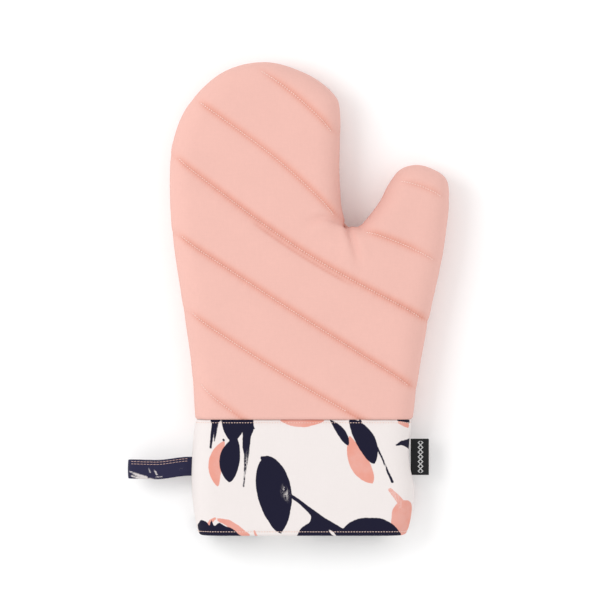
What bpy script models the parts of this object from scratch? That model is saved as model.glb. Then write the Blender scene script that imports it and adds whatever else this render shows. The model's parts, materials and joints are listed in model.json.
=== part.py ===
"""Oven mitt: a quilted hand part, a printed cuff, a hanging loop and a side label.

Metres, +Z up. The mitt lies on its back, fingers towards +Y and thumb towards +X. The origin is the middle of the
whole object's footprint, on the surface that it lies on. Inside the file the panels are drawn from the pattern's
own zero: x from the middle line of the finger part, y from the cuff seam.
"""

import math

import bmesh
import bpy
import numpy as np
from mathutils import Vector
from mathutils.geometry import delaunay_2d_cdt

MM = 0.001

# The hand part's pattern.
HAND_LENGTH = 226 * MM  # cuff seam to fingertips
FINGER_WIDTH = 108 * MM  # across the four fingers
NOTCH_HEIGHT = 121 * MM  # cuff seam to the bottom of the notch beside the thumb
THUMB_RISE = 40 * MM  # bottom of the notch to the thumb's tip
THUMB_REACH = 69 * MM  # finger part's thumb side to the thumb's outer side
SEAM_WIDTH = 137.7 * MM  # across the cuff seam
SEAM_LEFT = 37.8 * MM  # middle line of the fingers to the seam's little-finger end

# The cuff.
CUFF_LENGTH = 73.3 * MM
CUFF_BULGE = 2.5 * MM  # how far its little-finger side swells out
CUFF_PINCH = 2.6 * MM  # how far its thumb side pulls in under the seam
CUFF_SWELL = 1.1 * MM  # how far its thumb side swells out lower down
CUFF_TAPER = 2 * MM, 4 * MM  # how far each side turns in at the open edge
CUFF_STEP = 1.4 * MM  # how much flatter it is than the hand part, on each face

# Thicknesses. The layers nest inside each other, from the outer cloth inwards.
FRONT_RISE = 20 * MM  # side seam to the front face
BACK_RISE = 16 * MM  # side seam to the back face
EDGE_ROUND = 16.5 * MM  # width of the rounded border along the side seam
CLOTH = 1.6 * MM
WADDING = 5 * MM
LINING = 0.9 * MM
CUFF_CLOTH = 1.2 * MM
CUFF_WADDING = 2.6 * MM
CUFF_FACING = 0.9 * MM
GAP = 0.3 * MM  # between pieces that touch

# Sewing.
THREAD = 0.7 * MM
QUILT_DEPTH = 1.1 * MM  # how deep a quilting row pulls the cloth in
QUILT_HALF_WIDTH = 2.0 * MM
ROW_MARGIN = 6 * MM  # side seam to a row's end
ROW_STEP = 10 * MM
TOPSTITCH_INSET = 2 * MM  # cuff seam to its top stitching
HEM_INSET = 2.4 * MM  # cuff's open edge to its stitching
THREAD_END = 10 * MM  # side of the cuff to the end of its stitching
THREAD_STEP = 8 * MM  # longest straight piece of the cuff's stitching, as it follows the rounded border

# The hanging loop and the label. Each turns about a line just outside the side seam that holds it.
HINGE_OUT = 1.5 * MM  # side seam to that line
ROOT_IN = 1.0 * MM  # how far the sewn end reaches back from that line
LOOP_LENGTH = 38.7 * MM  # from its hinge line
LOOP_WIDTH = 12 * MM
LOOP_CLOTH = 0.8 * MM
LOOP_ROOT = 0.9 * MM  # between the middles of its two layers at the seam
LOOP_SPREAD = 8.4 * MM  # between the middles of its two layers, where they are furthest apart
LOOP_DROP = 30.5 * MM  # cuff seam to the loop's middle line
LOOP_STITCH_INSET = 1.2 * MM
LOOP_STITCH_SPACING = 1.6 * MM
LABEL_LENGTH = 9.6 * MM  # from its hinge line
LABEL_WIDTH = 23 * MM
LABEL_CLOTH = 0.5 * MM
LABEL_SPREAD = 1.1 * MM  # between the middles of its two layers
LABEL_DROP = 24 * MM  # cuff seam to the label's middle line

# How finely the soft shapes are drawn.
EDGE_POINTS = 70
BORDER_STEPS = (0.12, 0.42, 1.0)  # rings across the rounded border, as shares of its width
MOUTH_STEPS = (0.04, 0.15, 0.36, 0.66, 1.0)
FIELD_STEP = 26 * MM
FIELD_CLEAR = 5 * MM  # rounded border to the nearest point of the coarse grid
RING_SLACK = 0.4 * MM  # how much nearer the side seam than its ring's width a point may fall
MOUTH_CLEAR = 4 * MM  # cuff seam to the nearest ring point
GROOVE_RUNOUT = 0.35  # how far a groove runs past its thread's end, in steps of its points
LOOP_OPENS = 0.6  # share of a folded strip's length over which its layers part
CUFF_ROWS = 5

HALF = FINGER_WIDTH / 2
SEAM_RIGHT = SEAM_WIDTH - SEAM_LEFT
THUMB_SIDE = HALF + THUMB_REACH
THUMB_TOP = NOTCH_HEIGHT + THUMB_RISE
SEAM_LEVEL = BACK_RISE + GAP / 2  # height of the side seam over the surface

# Quilting rows, each a shallow arc: (x, y) of its start on the little-finger side, its middle and its end.
# x counts from the middle line of the fingers and y from the bottom of the notch.
QUILT_ROWS = {
    "quilt_row_1": ((4, 100), (27, 82), (53, 58)),
    "quilt_row_2": ((-36, 80), (14, 43), (54, 6)),
    "quilt_row_3": ((-53, 46), (29, -14), (110, -59)),
    "quilt_row_4": ((-52, -3), (23, -52), (104, -103)),
    "quilt_row_5": ((-46, -51), (11, -88), (70, -123)),
    "quilt_row_6": ((-39, -96), (-26, -107), (-6, -122)),
    "quilt_row_thumb_1": ((65, 0), (92, -10), (117, -22)),
    "quilt_row_thumb_2": ((88, 31), (105, 26), (123, 18)),
}

COTTON_PINK = (0.88, 0.54, 0.45)
THREAD_PINK = (0.84, 0.42, 0.34)
PRINT_WHITE = (0.86, 0.80, 0.78)
LINING_WHITE = (0.80, 0.77, 0.73)
WADDING_WHITE = (0.85, 0.85, 0.84)
NAVY = (0.024, 0.022, 0.052)
LABEL_BLACK = (0.012, 0.012, 0.012)


# ---------------------------------------------------------------- pattern


def hand_knots():
    """The hand part's edge from the cuff seam's thumb end, over thumb, notch and fingertips, to its other end."""
    tip = HAND_LENGTH
    notch = NOTCH_HEIGHT
    return np.array(
        [
            (SEAM_RIGHT, 0),
            (SEAM_RIGHT + 0.17 * (THUMB_SIDE - SEAM_RIGHT), 0.24 * notch),
            (SEAM_RIGHT + 0.45 * (THUMB_SIDE - SEAM_RIGHT), 0.53 * notch),
            (THUMB_SIDE - 5.0 * MM, notch - 22.0 * MM),
            (THUMB_SIDE - 1.7 * MM, notch - 0.5 * MM),
            (THUMB_SIDE, THUMB_TOP - 23.0 * MM),
            (THUMB_SIDE - 1.6 * MM, THUMB_TOP - 9.5 * MM),
            (THUMB_SIDE - 9.8 * MM, THUMB_TOP - 3.0 * MM),
            (THUMB_SIDE - 20.5 * MM, THUMB_TOP),
            (THUMB_SIDE - 31.0 * MM, THUMB_TOP - 3.0 * MM),
            (THUMB_SIDE - 38.4 * MM, THUMB_TOP - 12.0 * MM),
            (THUMB_SIDE - 44.0 * MM, THUMB_TOP - 23.0 * MM),
            (HALF + 16.5 * MM, notch + 5.6 * MM),
            (HALF + 11.9 * MM, notch + 1.1 * MM),
            (HALF + 7.6 * MM, notch),
            (HALF + 3.6 * MM, notch + 2.5 * MM),
            (HALF + 1.3 * MM, notch + 9.0 * MM),
            (HALF - 0.4 * MM, 0.5 * (notch + tip - 33 * MM)),
            (HALF, tip - 33.0 * MM),
            (0.92 * HALF, tip - 20.0 * MM),
            (0.60 * HALF, tip - 7.3 * MM),
            (0.12 * HALF, tip),
            (-0.38 * HALF, tip - 6.5 * MM),
            (-0.78 * HALF, tip - 27.0 * MM),
            (-0.96 * HALF, tip - 50.0 * MM),
            (-HALF, tip - 73.0 * MM),
            (-0.97 * HALF, 0.97 * notch),
            (-SEAM_LEFT - 0.47 * (HALF - SEAM_LEFT), 0.58 * notch),
            (-SEAM_LEFT - 0.16 * (HALF - SEAM_LEFT), 0.29 * notch),
            (-SEAM_LEFT, 0),
        ]
    )


def smooth_curve(knots, points):
    """Points evenly spaced along the Catmull-Rom curve through the knots."""
    ends = (2 * knots[0] - knots[1], 2 * knots[-1] - knots[-2])
    run = np.vstack([ends[0], knots, ends[1]])
    t = np.linspace(0, 1, 24, endpoint=False)[:, None]
    pieces = []
    for a, b, c, d in zip(run, run[1:], run[2:], run[3:]):
        pieces.append(
            0.5 * (2 * b + (c - a) * t + (2 * a - 5 * b + 4 * c - d) * t**2 + (3 * b - a - 3 * c + d) * t**3)
        )
    dense = np.vstack([*pieces, knots[-1]])
    return even_points(dense, points)


def even_points(path, points):
    """The given number of points at equal steps along a polyline."""
    along = np.append(0, np.cumsum(np.linalg.norm(np.diff(path, axis=0), axis=1)))
    at = np.linspace(0, along[-1], points)
    return np.stack([np.interp(at, along, path[:, k]) for k in range(path.shape[1])], axis=1)


HAND_EDGE = smooth_curve(hand_knots(), 700)


def edge_distance(points):
    """Distance of each point from the hand part's side seam."""
    ends = HAND_EDGE[:-1], HAND_EDGE[1:]
    run = ends[1] - ends[0]
    away = points[:, None] - ends[0][None]
    share = np.clip((away * run).sum(2) / (run * run).sum(1), 0, 1)
    return np.linalg.norm(away - share[..., None] * run, axis=2).min(1)


def rounded(distance, inset, rise):
    """Height of a nested layer's face over the side seam: a quarter ellipse, then flat."""
    share = np.clip((distance - inset) / (EDGE_ROUND - inset), 0, 1)
    return (rise - inset) * np.sqrt(1 - (1 - share) ** 2)


def cuff_sides(y):
    """The cuff's left and right edge at y, which runs from 0 at its seam down to minus its length."""
    down = np.clip(-y / CUFF_LENGTH, 0, 1)
    pinch = CUFF_PINCH * np.sin(math.pi * np.clip(1.75 * down, 0, 1))
    swell = CUFF_SWELL * np.sin(math.pi * down**2) ** 2
    left = -SEAM_LEFT - CUFF_BULGE * np.sin(math.pi * down) + CUFF_TAPER[0] * down**4
    right = SEAM_RIGHT - pinch + swell - CUFF_TAPER[1] * down**6
    return left, right


def footprint_middle():
    """Middle of the whole object's box, from its pieces' outermost points."""
    loop_y = -LOOP_DROP
    left = cuff_sides(np.array([loop_y]))[0][0] - HINGE_OUT - LOOP_LENGTH
    right = HAND_EDGE[:, 0].max()
    top = HAND_EDGE[:, 1].max()
    return (left + right) / 2, (top - CUFF_LENGTH) / 2


MIDDLE_X, MIDDLE_Y = footprint_middle()


# ---------------------------------------------------------------- scene


def clear_scene():
    for old in list(bpy.data.objects):
        bpy.data.objects.remove(old, do_unlink=True)


def new_material(name, colour, roughness):
    material = bpy.data.materials.new(name)
    material.use_nodes = True
    shader = material.node_tree.nodes["Principled BSDF"]
    shader.inputs["Base Color"].default_value = (*colour, 1)
    shader.inputs["Roughness"].default_value = roughness
    shader.inputs["Metallic"].default_value = 0
    return material


def new_collection(name):
    collection = bpy.data.collections.new(name)
    bpy.context.scene.collection.children.link(collection)
    return collection


def add_mesh(name, points, faces, colour, roughness=0.85):
    """A mesh object from pattern points, moved so that the origin is the middle of the footprint."""
    mesh = bpy.data.meshes.new(name)
    mesh.from_pydata((np.asarray(points) - (MIDDLE_X, MIDDLE_Y, 0)).tolist(), [], faces)
    tidy = bmesh.new()
    tidy.from_mesh(mesh)
    bmesh.ops.recalc_face_normals(tidy, faces=tidy.faces)
    tidy.to_mesh(mesh)
    tidy.free()
    mesh.shade_smooth()
    mesh.set_sharp_from_angle(angle=math.radians(40))
    mesh.materials.append(new_material(name, colour, roughness))
    item = bpy.data.objects.new(name, mesh)
    MITT.objects.link(item)
    return item


def add_pivot(name, x, y):
    """An empty on a side seam, which a loop or a label turns about."""
    pivot = bpy.data.objects.new(name, None)
    pivot.location = (x - MIDDLE_X, y - MIDDLE_Y, SEAM_LEVEL)
    pivot.empty_display_size = 0.01
    MITT.objects.link(pivot)
    bpy.context.view_layer.update()
    return pivot


def add_thread(name, points, colour=THREAD_PINK, pivot=None):
    """One row of sewing thread, as a bevelled poly curve."""
    curve = bpy.data.curves.new(name, "CURVE")
    curve.dimensions = "3D"
    curve.bevel_depth = THREAD / 2
    curve.bevel_resolution = 0
    curve.use_fill_caps = True
    spline = curve.splines.new("POLY")
    spline.points.add(len(points) - 1)
    origin = Vector((MIDDLE_X, MIDDLE_Y, 0))
    shift = pivot.location if pivot else Vector()
    for knot, place in zip(spline.points, points):
        knot.co = (*(Vector(place) - origin - shift), 1)
    curve.materials.append(new_material(name, colour, 0.6))
    item = bpy.data.objects.new(name, curve)
    MITT.objects.link(item)
    item.parent = pivot


# ---------------------------------------------------------------- hand panels


def row_points(knots):
    """A quilting row's points, cut off short of the side seam and of the cuff seam."""
    start, middle, end = (np.array(knot) * MM + (0, NOTCH_HEIGHT) for knot in knots)
    run = smooth_curve(np.array([start, middle, end]), 300)
    keep = (edge_distance(run) > ROW_MARGIN) & (run[:, 1] > ROW_MARGIN)
    run = run[keep]
    length = np.linalg.norm(np.diff(run, axis=0), axis=1).sum()
    return even_points(run, max(4, round(length / ROW_STEP) + 1))


def side_normals(path):
    run = np.gradient(path, axis=0)
    run /= np.linalg.norm(run, axis=1)[:, None]
    return np.stack([-run[:, 1], run[:, 0]], axis=1)


def panel_loop(inset):
    """A panel's edge, pulled in by inset: its side seam, then its straight edge along the cuff seam."""
    path = even_points(HAND_EDGE, EDGE_POINTS)
    side = path + inset * side_normals(path)
    side[[0, -1], 1] = GAP / 2
    side[0, 0] = SEAM_RIGHT - inset
    side[-1, 0] = -SEAM_LEFT + inset
    border = inset + (EDGE_ROUND - inset) * np.array(MOUTH_STEPS)
    flat = np.linspace(-SEAM_LEFT + EDGE_ROUND, SEAM_RIGHT - EDGE_ROUND, 5)[1:-1]
    x = np.concatenate([-SEAM_LEFT + border, flat, (SEAM_RIGHT - border)[::-1]])
    return side, np.stack([x, np.full(len(x), GAP / 2)], axis=1)


def field_points(inset, rows):
    """Points inside a panel: rings across its rounded border, and a coarse grid on its flat part."""
    path = even_points(HAND_EDGE, EDGE_POINTS)
    normals = side_normals(path)
    found = []
    for share in BORDER_STEPS:
        width = inset + (EDGE_ROUND - inset) * share
        ring = path + width * normals
        found.append(ring[(edge_distance(ring) > width - RING_SLACK) & (ring[:, 1] > MOUTH_CLEAR)])
    x, y = np.meshgrid(
        np.arange(-HALF, THUMB_SIDE, FIELD_STEP), np.arange(FIELD_STEP / 2, HAND_LENGTH, FIELD_STEP)
    )
    grid = np.stack([x.ravel(), y.ravel()], axis=1)
    inside = (edge_distance(grid) > EDGE_ROUND + FIELD_CLEAR) & in_outline(grid)
    found.append(grid[inside])
    points = np.vstack(found)
    for row in rows:
        dense = even_points(row, 120)
        clear = np.linalg.norm(points[:, None] - dense[None], axis=2).min(1)
        points = points[clear > 2 * QUILT_HALF_WIDTH]
    return points


def in_outline(points):
    """Which points lie inside the hand part, by crossing count."""
    a, b = HAND_EDGE, np.roll(HAND_EDGE, -1, axis=0)
    px, py = points[:, :1], points[:, 1:]
    crosses = (a[:, 1] > py) != (b[:, 1] > py)
    rise = np.where(b[:, 1] == a[:, 1], 1, b[:, 1] - a[:, 1])
    at = a[:, 0] + (py - a[:, 1]) * (b[:, 0] - a[:, 0]) / rise
    return (crosses & (px < at)).sum(1) % 2 == 1


def panel_face(inset, rise, rows):
    """One face of a panel: its points with heights, its triangles, and how many points its edge has."""
    side, mouth = panel_loop(inset)
    edge = len(side) + len(mouth)
    flat = [*side, *mouth, *field_points(inset, rows)]
    drop = [0.0] * len(flat)
    ties = [(k, (k + 1) % edge) for k in range(edge)]
    for row in rows:
        normals = side_normals(row)
        before = row[:1] + GROOVE_RUNOUT * (row[:1] - row[1:2])
        after = row[-1:] + GROOVE_RUNOUT * (row[-1:] - row[-2:-1])
        run = np.vstack([before, row, after])
        for line, depth in (
            (row + QUILT_HALF_WIDTH * normals, 0.0),
            (run, QUILT_DEPTH),
            (row - QUILT_HALF_WIDTH * normals, 0.0),
        ):
            first = len(flat)
            flat.extend(line)
            drop.extend([depth] * len(line))
            ties.extend((first + k, first + k + 1) for k in range(len(line) - 1))
            if depth:
                drop[first] = drop[-1] = 0.0
    flat = np.array(flat)
    found = delaunay_2d_cdt([Vector(p) for p in flat], ties, [list(range(edge))], 1, 1e-7)
    source = [came_from[0] for came_from in found[3]]
    height = rounded(edge_distance(flat), inset, rise)
    height[: len(side)] = 0
    height = height - np.array(drop)
    faces = [[source[k] for k in face] for face in found[2]]
    return np.column_stack([flat, height]), faces, edge


def add_panel(name, front, outer, inner, colour, rows=()):
    """A half of one layer, between two nested faces, above or below the side seam's level."""
    rise, up = (FRONT_RISE, 1) if front else (BACK_RISE, -1)
    top, top_faces, edge = panel_face(outer, rise, rows)
    low, low_faces, _ = panel_face(inner, rise, ())
    points = np.vstack([top, low])
    points[:, 2] = SEAM_LEVEL + up * (GAP / 2 + points[:, 2])
    start = len(top)
    faces = top_faces + [[start + k for k in face[::-1]] for face in low_faces]
    for k in range(edge):
        after = (k + 1) % edge
        faces.append([k, start + k, start + after, after])
    return add_mesh(name, points, faces, colour)


def row_on_face(row, front):
    """The thread's points along a row, just over the bottom of its groove."""
    rise, up = (FRONT_RISE, 1) if front else (BACK_RISE, -1)
    height = rounded(edge_distance(row), 0, rise) - QUILT_DEPTH + GAP + THREAD / 2
    return np.column_stack([row, SEAM_LEVEL + up * (GAP / 2 + height)])


def add_hand():
    rows = {name: row_points(knots) for name, knots in QUILT_ROWS.items()}
    wadding = CLOTH + GAP
    lining = wadding + WADDING + GAP
    for front, face in ((True, "front"), (False, "back")):
        add_panel(f"outer_{face}", front, 0, CLOTH, COTTON_PINK, rows.values())
        add_panel(f"wadding_{face}", front, wadding, wadding + WADDING, WADDING_WHITE)
        add_panel(f"lining_{face}", front, lining, lining + LINING, LINING_WHITE)
        for name, row in rows.items():
            add_thread(f"{name}_{face}", row_on_face(row, front))


# ---------------------------------------------------------------- cuff


def cuff_face(inset, rise):
    """One face of the cuff as a grid: rows from its seam to its open edge, columns from left to right."""
    y = np.linspace(-GAP / 2, -CUFF_LENGTH, CUFF_ROWS)
    left, right = cuff_sides(y)
    border = inset + (EDGE_ROUND - inset) * np.append(0, MOUTH_STEPS)
    middle = np.linspace(0, 1, 5)[1:-1]
    span = (right - left)[:, None]
    flat = EDGE_ROUND + middle * (span - 2 * EDGE_ROUND)
    near = np.repeat(border[None], CUFF_ROWS, axis=0)
    across = np.hstack([near, flat, span - near[:, ::-1]])
    height = rounded(np.minimum(across, span - across), inset, rise - CUFF_STEP)
    return np.dstack([left[:, None] + across, np.broadcast_to(y[:, None], across.shape), height])


def add_cuff_layer(name, front, outer, inner, colour):
    """A half of one cuff layer: two nested faces, joined along their sides and ends."""
    rise, up = (FRONT_RISE, 1) if front else (BACK_RISE, -1)
    grids = np.stack([cuff_face(outer, rise), cuff_face(inner, rise)])
    grids[..., 2] = SEAM_LEVEL + up * (GAP / 2 + grids[..., 2])
    rows, columns = grids.shape[1:3]
    number = np.arange(2 * rows * columns).reshape(2, rows, columns)
    faces = []
    for layer in number:
        quads = np.stack([layer[:-1, :-1], layer[1:, :-1], layer[1:, 1:], layer[:-1, 1:]], axis=-1)
        faces.extend(quads.reshape(-1, 4).tolist())
    for outer_rim, inner_rim in (
        (number[0, 0], number[1, 0]),
        (number[0, -1], number[1, -1]),
        (number[0, :, 0], number[1, :, 0]),
        (number[0, :, -1], number[1, :, -1]),
    ):
        strip = np.stack([outer_rim[:-1], outer_rim[1:], inner_rim[1:], inner_rim[:-1]], axis=-1)
        faces.extend(strip.tolist())
    return add_mesh(name, grids.reshape(-1, 3), faces, colour)


def cuff_thread(y, front):
    """A straight row of stitching across one face of the cuff, lying on its cloth."""
    rise, up = (FRONT_RISE, 1) if front else (BACK_RISE, -1)
    left, right = (side[0] for side in cuff_sides(np.array([y])))
    steps = math.ceil((right - left - 2 * THREAD_END) / THREAD_STEP)
    x = np.linspace(left + THREAD_END, right - THREAD_END, steps + 1)
    height = rounded(np.minimum(x - left, right - x), 0, rise - CUFF_STEP) + GAP + THREAD / 2
    return np.column_stack([x, np.full(len(x), y), SEAM_LEVEL + up * (GAP / 2 + height)])


def add_cuff():
    wadding = CUFF_CLOTH + GAP
    facing = wadding + CUFF_WADDING + GAP
    for front, face in ((True, "front"), (False, "back")):
        add_cuff_layer(f"cuff_{face}", front, 0, CUFF_CLOTH, PRINT_WHITE)
        add_cuff_layer(f"cuff_wadding_{face}", front, wadding, wadding + CUFF_WADDING, WADDING_WHITE)
        add_cuff_layer(f"cuff_facing_{face}", front, facing, facing + CUFF_FACING, PRINT_WHITE)
        add_thread(f"cuff_topstitch_{face}", cuff_thread(-TOPSTITCH_INSET, front))
        add_thread(f"hem_stitch_{face}", cuff_thread(-CUFF_LENGTH + HEM_INSET, front))


# ---------------------------------------------------------------- loop and label


def folded_path(length, root, spread, points=9):
    """A folded strip seen from its end: out along one layer, round the fold and back, as (out, up)."""
    out = np.linspace(-ROOT_IN, length - spread / 2, points)
    open_up = np.sin(0.5 * math.pi * np.clip(out / (LOOP_OPENS * length), 0, 1)) ** 0.8
    layer = np.column_stack([out, (root + (spread - root) * open_up) / 2])
    turn = np.linspace(math.pi / 2, -math.pi / 2, 7)[1:-1]
    fold = np.column_stack([length - spread / 2 * (1 - np.cos(turn)), spread / 2 * np.sin(turn)])
    return np.vstack([layer, fold, layer[::-1] * (1, -1)])


def add_folded_strip(name, pivot, path, width, cloth, colour):
    """A folded strip of cloth: an open surface along the path, given its thickness by Solidify."""
    grid = np.stack([np.insert(path, 1, side * width / 2, axis=1) for side in (-1, 1)])
    columns = len(path)
    faces = [[k, k + 1, columns + k + 1, columns + k] for k in range(columns - 1)]
    mesh = bpy.data.meshes.new(name)
    mesh.from_pydata(grid.reshape(-1, 3).tolist(), [], faces)
    mesh.materials.append(new_material(name, colour, 0.85))
    item = bpy.data.objects.new(name, mesh)
    MITT.objects.link(item)
    item.parent = pivot
    wall = item.modifiers.new("cloth", "SOLIDIFY")
    wall.thickness = cloth
    wall.offset = 0
    return item


def add_loop():
    """The hanging loop in the left side seam of the cuff, with two rows of stitching along its front."""
    side = cuff_sides(np.array([-LOOP_DROP]))[0][0]
    pivot = add_pivot("loop_pivot", side - HINGE_OUT, -LOOP_DROP)
    path = folded_path(LOOP_LENGTH - LOOP_CLOTH / 2, LOOP_ROOT, LOOP_SPREAD) * (-1, 1)
    add_folded_strip("hanging_loop", pivot, path, LOOP_WIDTH, LOOP_CLOTH, NAVY)
    layer = path[2:9]
    for number in (1, 2):
        y = LOOP_WIDTH / 2 - LOOP_STITCH_INSET - (number - 1) * LOOP_STITCH_SPACING
        rise = layer[:, 1] + LOOP_CLOTH / 2 + GAP + THREAD / 2
        place = np.column_stack([layer[:, 0], np.full(len(layer), y), rise])
        place += np.array(pivot.location) + (MIDDLE_X, MIDDLE_Y, 0)
        add_thread(f"loop_stitch_{number}", place, THREAD_PINK, pivot)


def add_label():
    """The folded woven label in the right side seam of the cuff."""
    side = cuff_sides(np.linspace(-LABEL_WIDTH / 2, LABEL_WIDTH / 2, 9) - LABEL_DROP)[1].max()
    pivot = add_pivot("label_pivot", side + HINGE_OUT, -LABEL_DROP)
    path = folded_path(LABEL_LENGTH - LABEL_CLOTH / 2, LABEL_SPREAD, LABEL_SPREAD, 4)
    add_folded_strip("side_label", pivot, path, LABEL_WIDTH, LABEL_CLOTH, LABEL_BLACK)


clear_scene()
MITT = new_collection("oven_mitt")
add_hand()
add_cuff()
add_loop()
add_label()
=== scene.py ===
"""Oven mitt: the visible model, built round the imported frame.

The file is laid out as a Blender add-on and is run as a script. Lengths are metres. Shapes are worked out in
the pattern's coordinates, x from the middle line of the fingers and y from the cuff seam, and height from the
level of the side seam; place() turns them into the frame's coordinates.
"""

import json
import math
import bmesh
import bpy
import numpy as np
from bpy.props import FloatProperty, FloatVectorProperty, PointerProperty
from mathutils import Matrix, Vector


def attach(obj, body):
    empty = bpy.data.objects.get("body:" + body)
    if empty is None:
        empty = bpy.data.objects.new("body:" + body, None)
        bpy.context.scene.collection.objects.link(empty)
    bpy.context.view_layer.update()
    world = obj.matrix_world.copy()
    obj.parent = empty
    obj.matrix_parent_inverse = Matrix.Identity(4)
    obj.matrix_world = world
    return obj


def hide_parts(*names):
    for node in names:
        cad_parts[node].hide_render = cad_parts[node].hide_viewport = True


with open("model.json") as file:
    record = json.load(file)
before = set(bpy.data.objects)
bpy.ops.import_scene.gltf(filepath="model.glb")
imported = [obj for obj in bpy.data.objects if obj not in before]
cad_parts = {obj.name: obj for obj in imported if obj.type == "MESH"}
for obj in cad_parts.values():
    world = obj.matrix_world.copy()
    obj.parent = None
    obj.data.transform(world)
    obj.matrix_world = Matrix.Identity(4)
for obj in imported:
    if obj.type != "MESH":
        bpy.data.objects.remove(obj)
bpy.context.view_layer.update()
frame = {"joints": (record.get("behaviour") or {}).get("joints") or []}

bl_info = {
    "name": "Oven mitt",
    "version": (1, 0, 0),
    "blender": (4, 5, 0),
    "location": "View3D > Sidebar > Mitt",
    "description": "Builds a quilted oven mitt with a printed cuff, a hanging loop and a woven label",
    "category": "Object",
}

MM = 0.001
FACES = (True, "front"), (False, "back")

# ---------------------------------------------------------------- pattern, the same as the frame's

HAND_LENGTH = 226 * MM  # cuff seam to the fingertips
FINGER_WIDTH = 108 * MM
NOTCH_HEIGHT = 121 * MM  # cuff seam to the bottom of the notch beside the thumb
THUMB_RISE = 40 * MM  # the notch's bottom to the thumb's tip
THUMB_REACH = 69 * MM  # the fingers' side to the thumb's outer side
SEAM_WIDTH = 137.7 * MM  # the cuff at its seam
SEAM_LEFT = 37.8 * MM  # the fingers' middle line to the cuff's left end
CUFF_LENGTH = 73.3 * MM
CUFF_BULGE = 2.5 * MM  # how far the cuff's left side stands out halfway down
CUFF_PINCH = 2.6 * MM  # how far its right side draws in below the seam
CUFF_SWELL = 1.1 * MM  # how far it stands out again lower down
CUFF_TAPER = 2 * MM, 4 * MM  # how far each side draws in at the open edge
CUFF_STEP = 1.4 * MM  # how much lower the cuff lies than the hand part, on each face
FRONT_RISE = 20 * MM  # side seam to the front face
BACK_RISE = 16 * MM  # side seam to the back face
EDGE_ROUND = 16.5 * MM  # width of the rounded border
HINGE_OUT = 1.5 * MM  # cuff's side to the line that the loop turns about
LOOP_DROP = 30.5 * MM  # cuff seam to the loop's middle line

HALF = FINGER_WIDTH / 2
SEAM_RIGHT = SEAM_WIDTH - SEAM_LEFT
THUMB_SIDE = HALF + THUMB_REACH
THUMB_TOP = NOTCH_HEIGHT + THUMB_RISE
JOINTS = {joint["name"]: Vector(joint["pos_m"]) for joint in frame["joints"]}
LOOP_PIVOT = JOINTS["loop_swing"]
LABEL_PIVOT = JOINTS["label_flap"]
SEAM_LEVEL = LOOP_PIVOT.z

# Layers, from the outer face inwards.
PANEL = 0.0, 1.3 * MM
WADDING = 1.9 * MM, 6.7 * MM
LINING = 7.2 * MM, 8.1 * MM
CUFF_CLOTH = 0.0, 1.0 * MM
CUFF_WADDING = 1.3 * MM, 3.9 * MM
CUFF_FACING = 0.9 * MM
HEM_RADIUS = 2.65 * MM  # the open edge's roll
SEAM_GAP = 0.15 * MM  # from the side seam's level to each half
CUFF_START = 0.02 * MM  # from the cuff seam's line to the cuff's cloth
FULLNESS = 2.5  # exponent of the rounded border's profile: 2 is an ellipse, more is fuller

# Quilting rows: start, middle and end as (x, y) in mm from the fingers' middle line and the notch's bottom,
# then the depth of the groove in mm.
QUILT_ROWS = {
    "row_1": ((4, 100), (27, 82), (53, 58), 1.0),
    "row_2": ((-36, 80), (14, 43), (54, 6), 1.3),
    "row_3": ((-53, 46), (29, -14), (110, -59), 2.2),
    "row_4": ((-52, -3), (23, -52), (104, -103), 1.9),
    "row_5": ((-46, -51), (11, -88), (70, -123), 1.3),
    "row_6": ((-39, -96), (-26, -107), (-6, -122), 0.9),
    "row_thumb_1": ((65, 0), (92, -10), (117, -22), 1.3),
    "row_thumb_2": ((88, 31), (105, 26), (123, 18), 0.7),
}
# Pulled folds that run from the notch, the same way: points, then depth and half width in mm.
NOTCH_FOLDS = (
    (((57, 2), (46, 6), (36, 4), (25, 0)), 1.5, 1.6),
    (((58, 1), (61, -6), (63, -13), (66, -22), (71, -29)), 1.7, 1.5),
)


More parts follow.
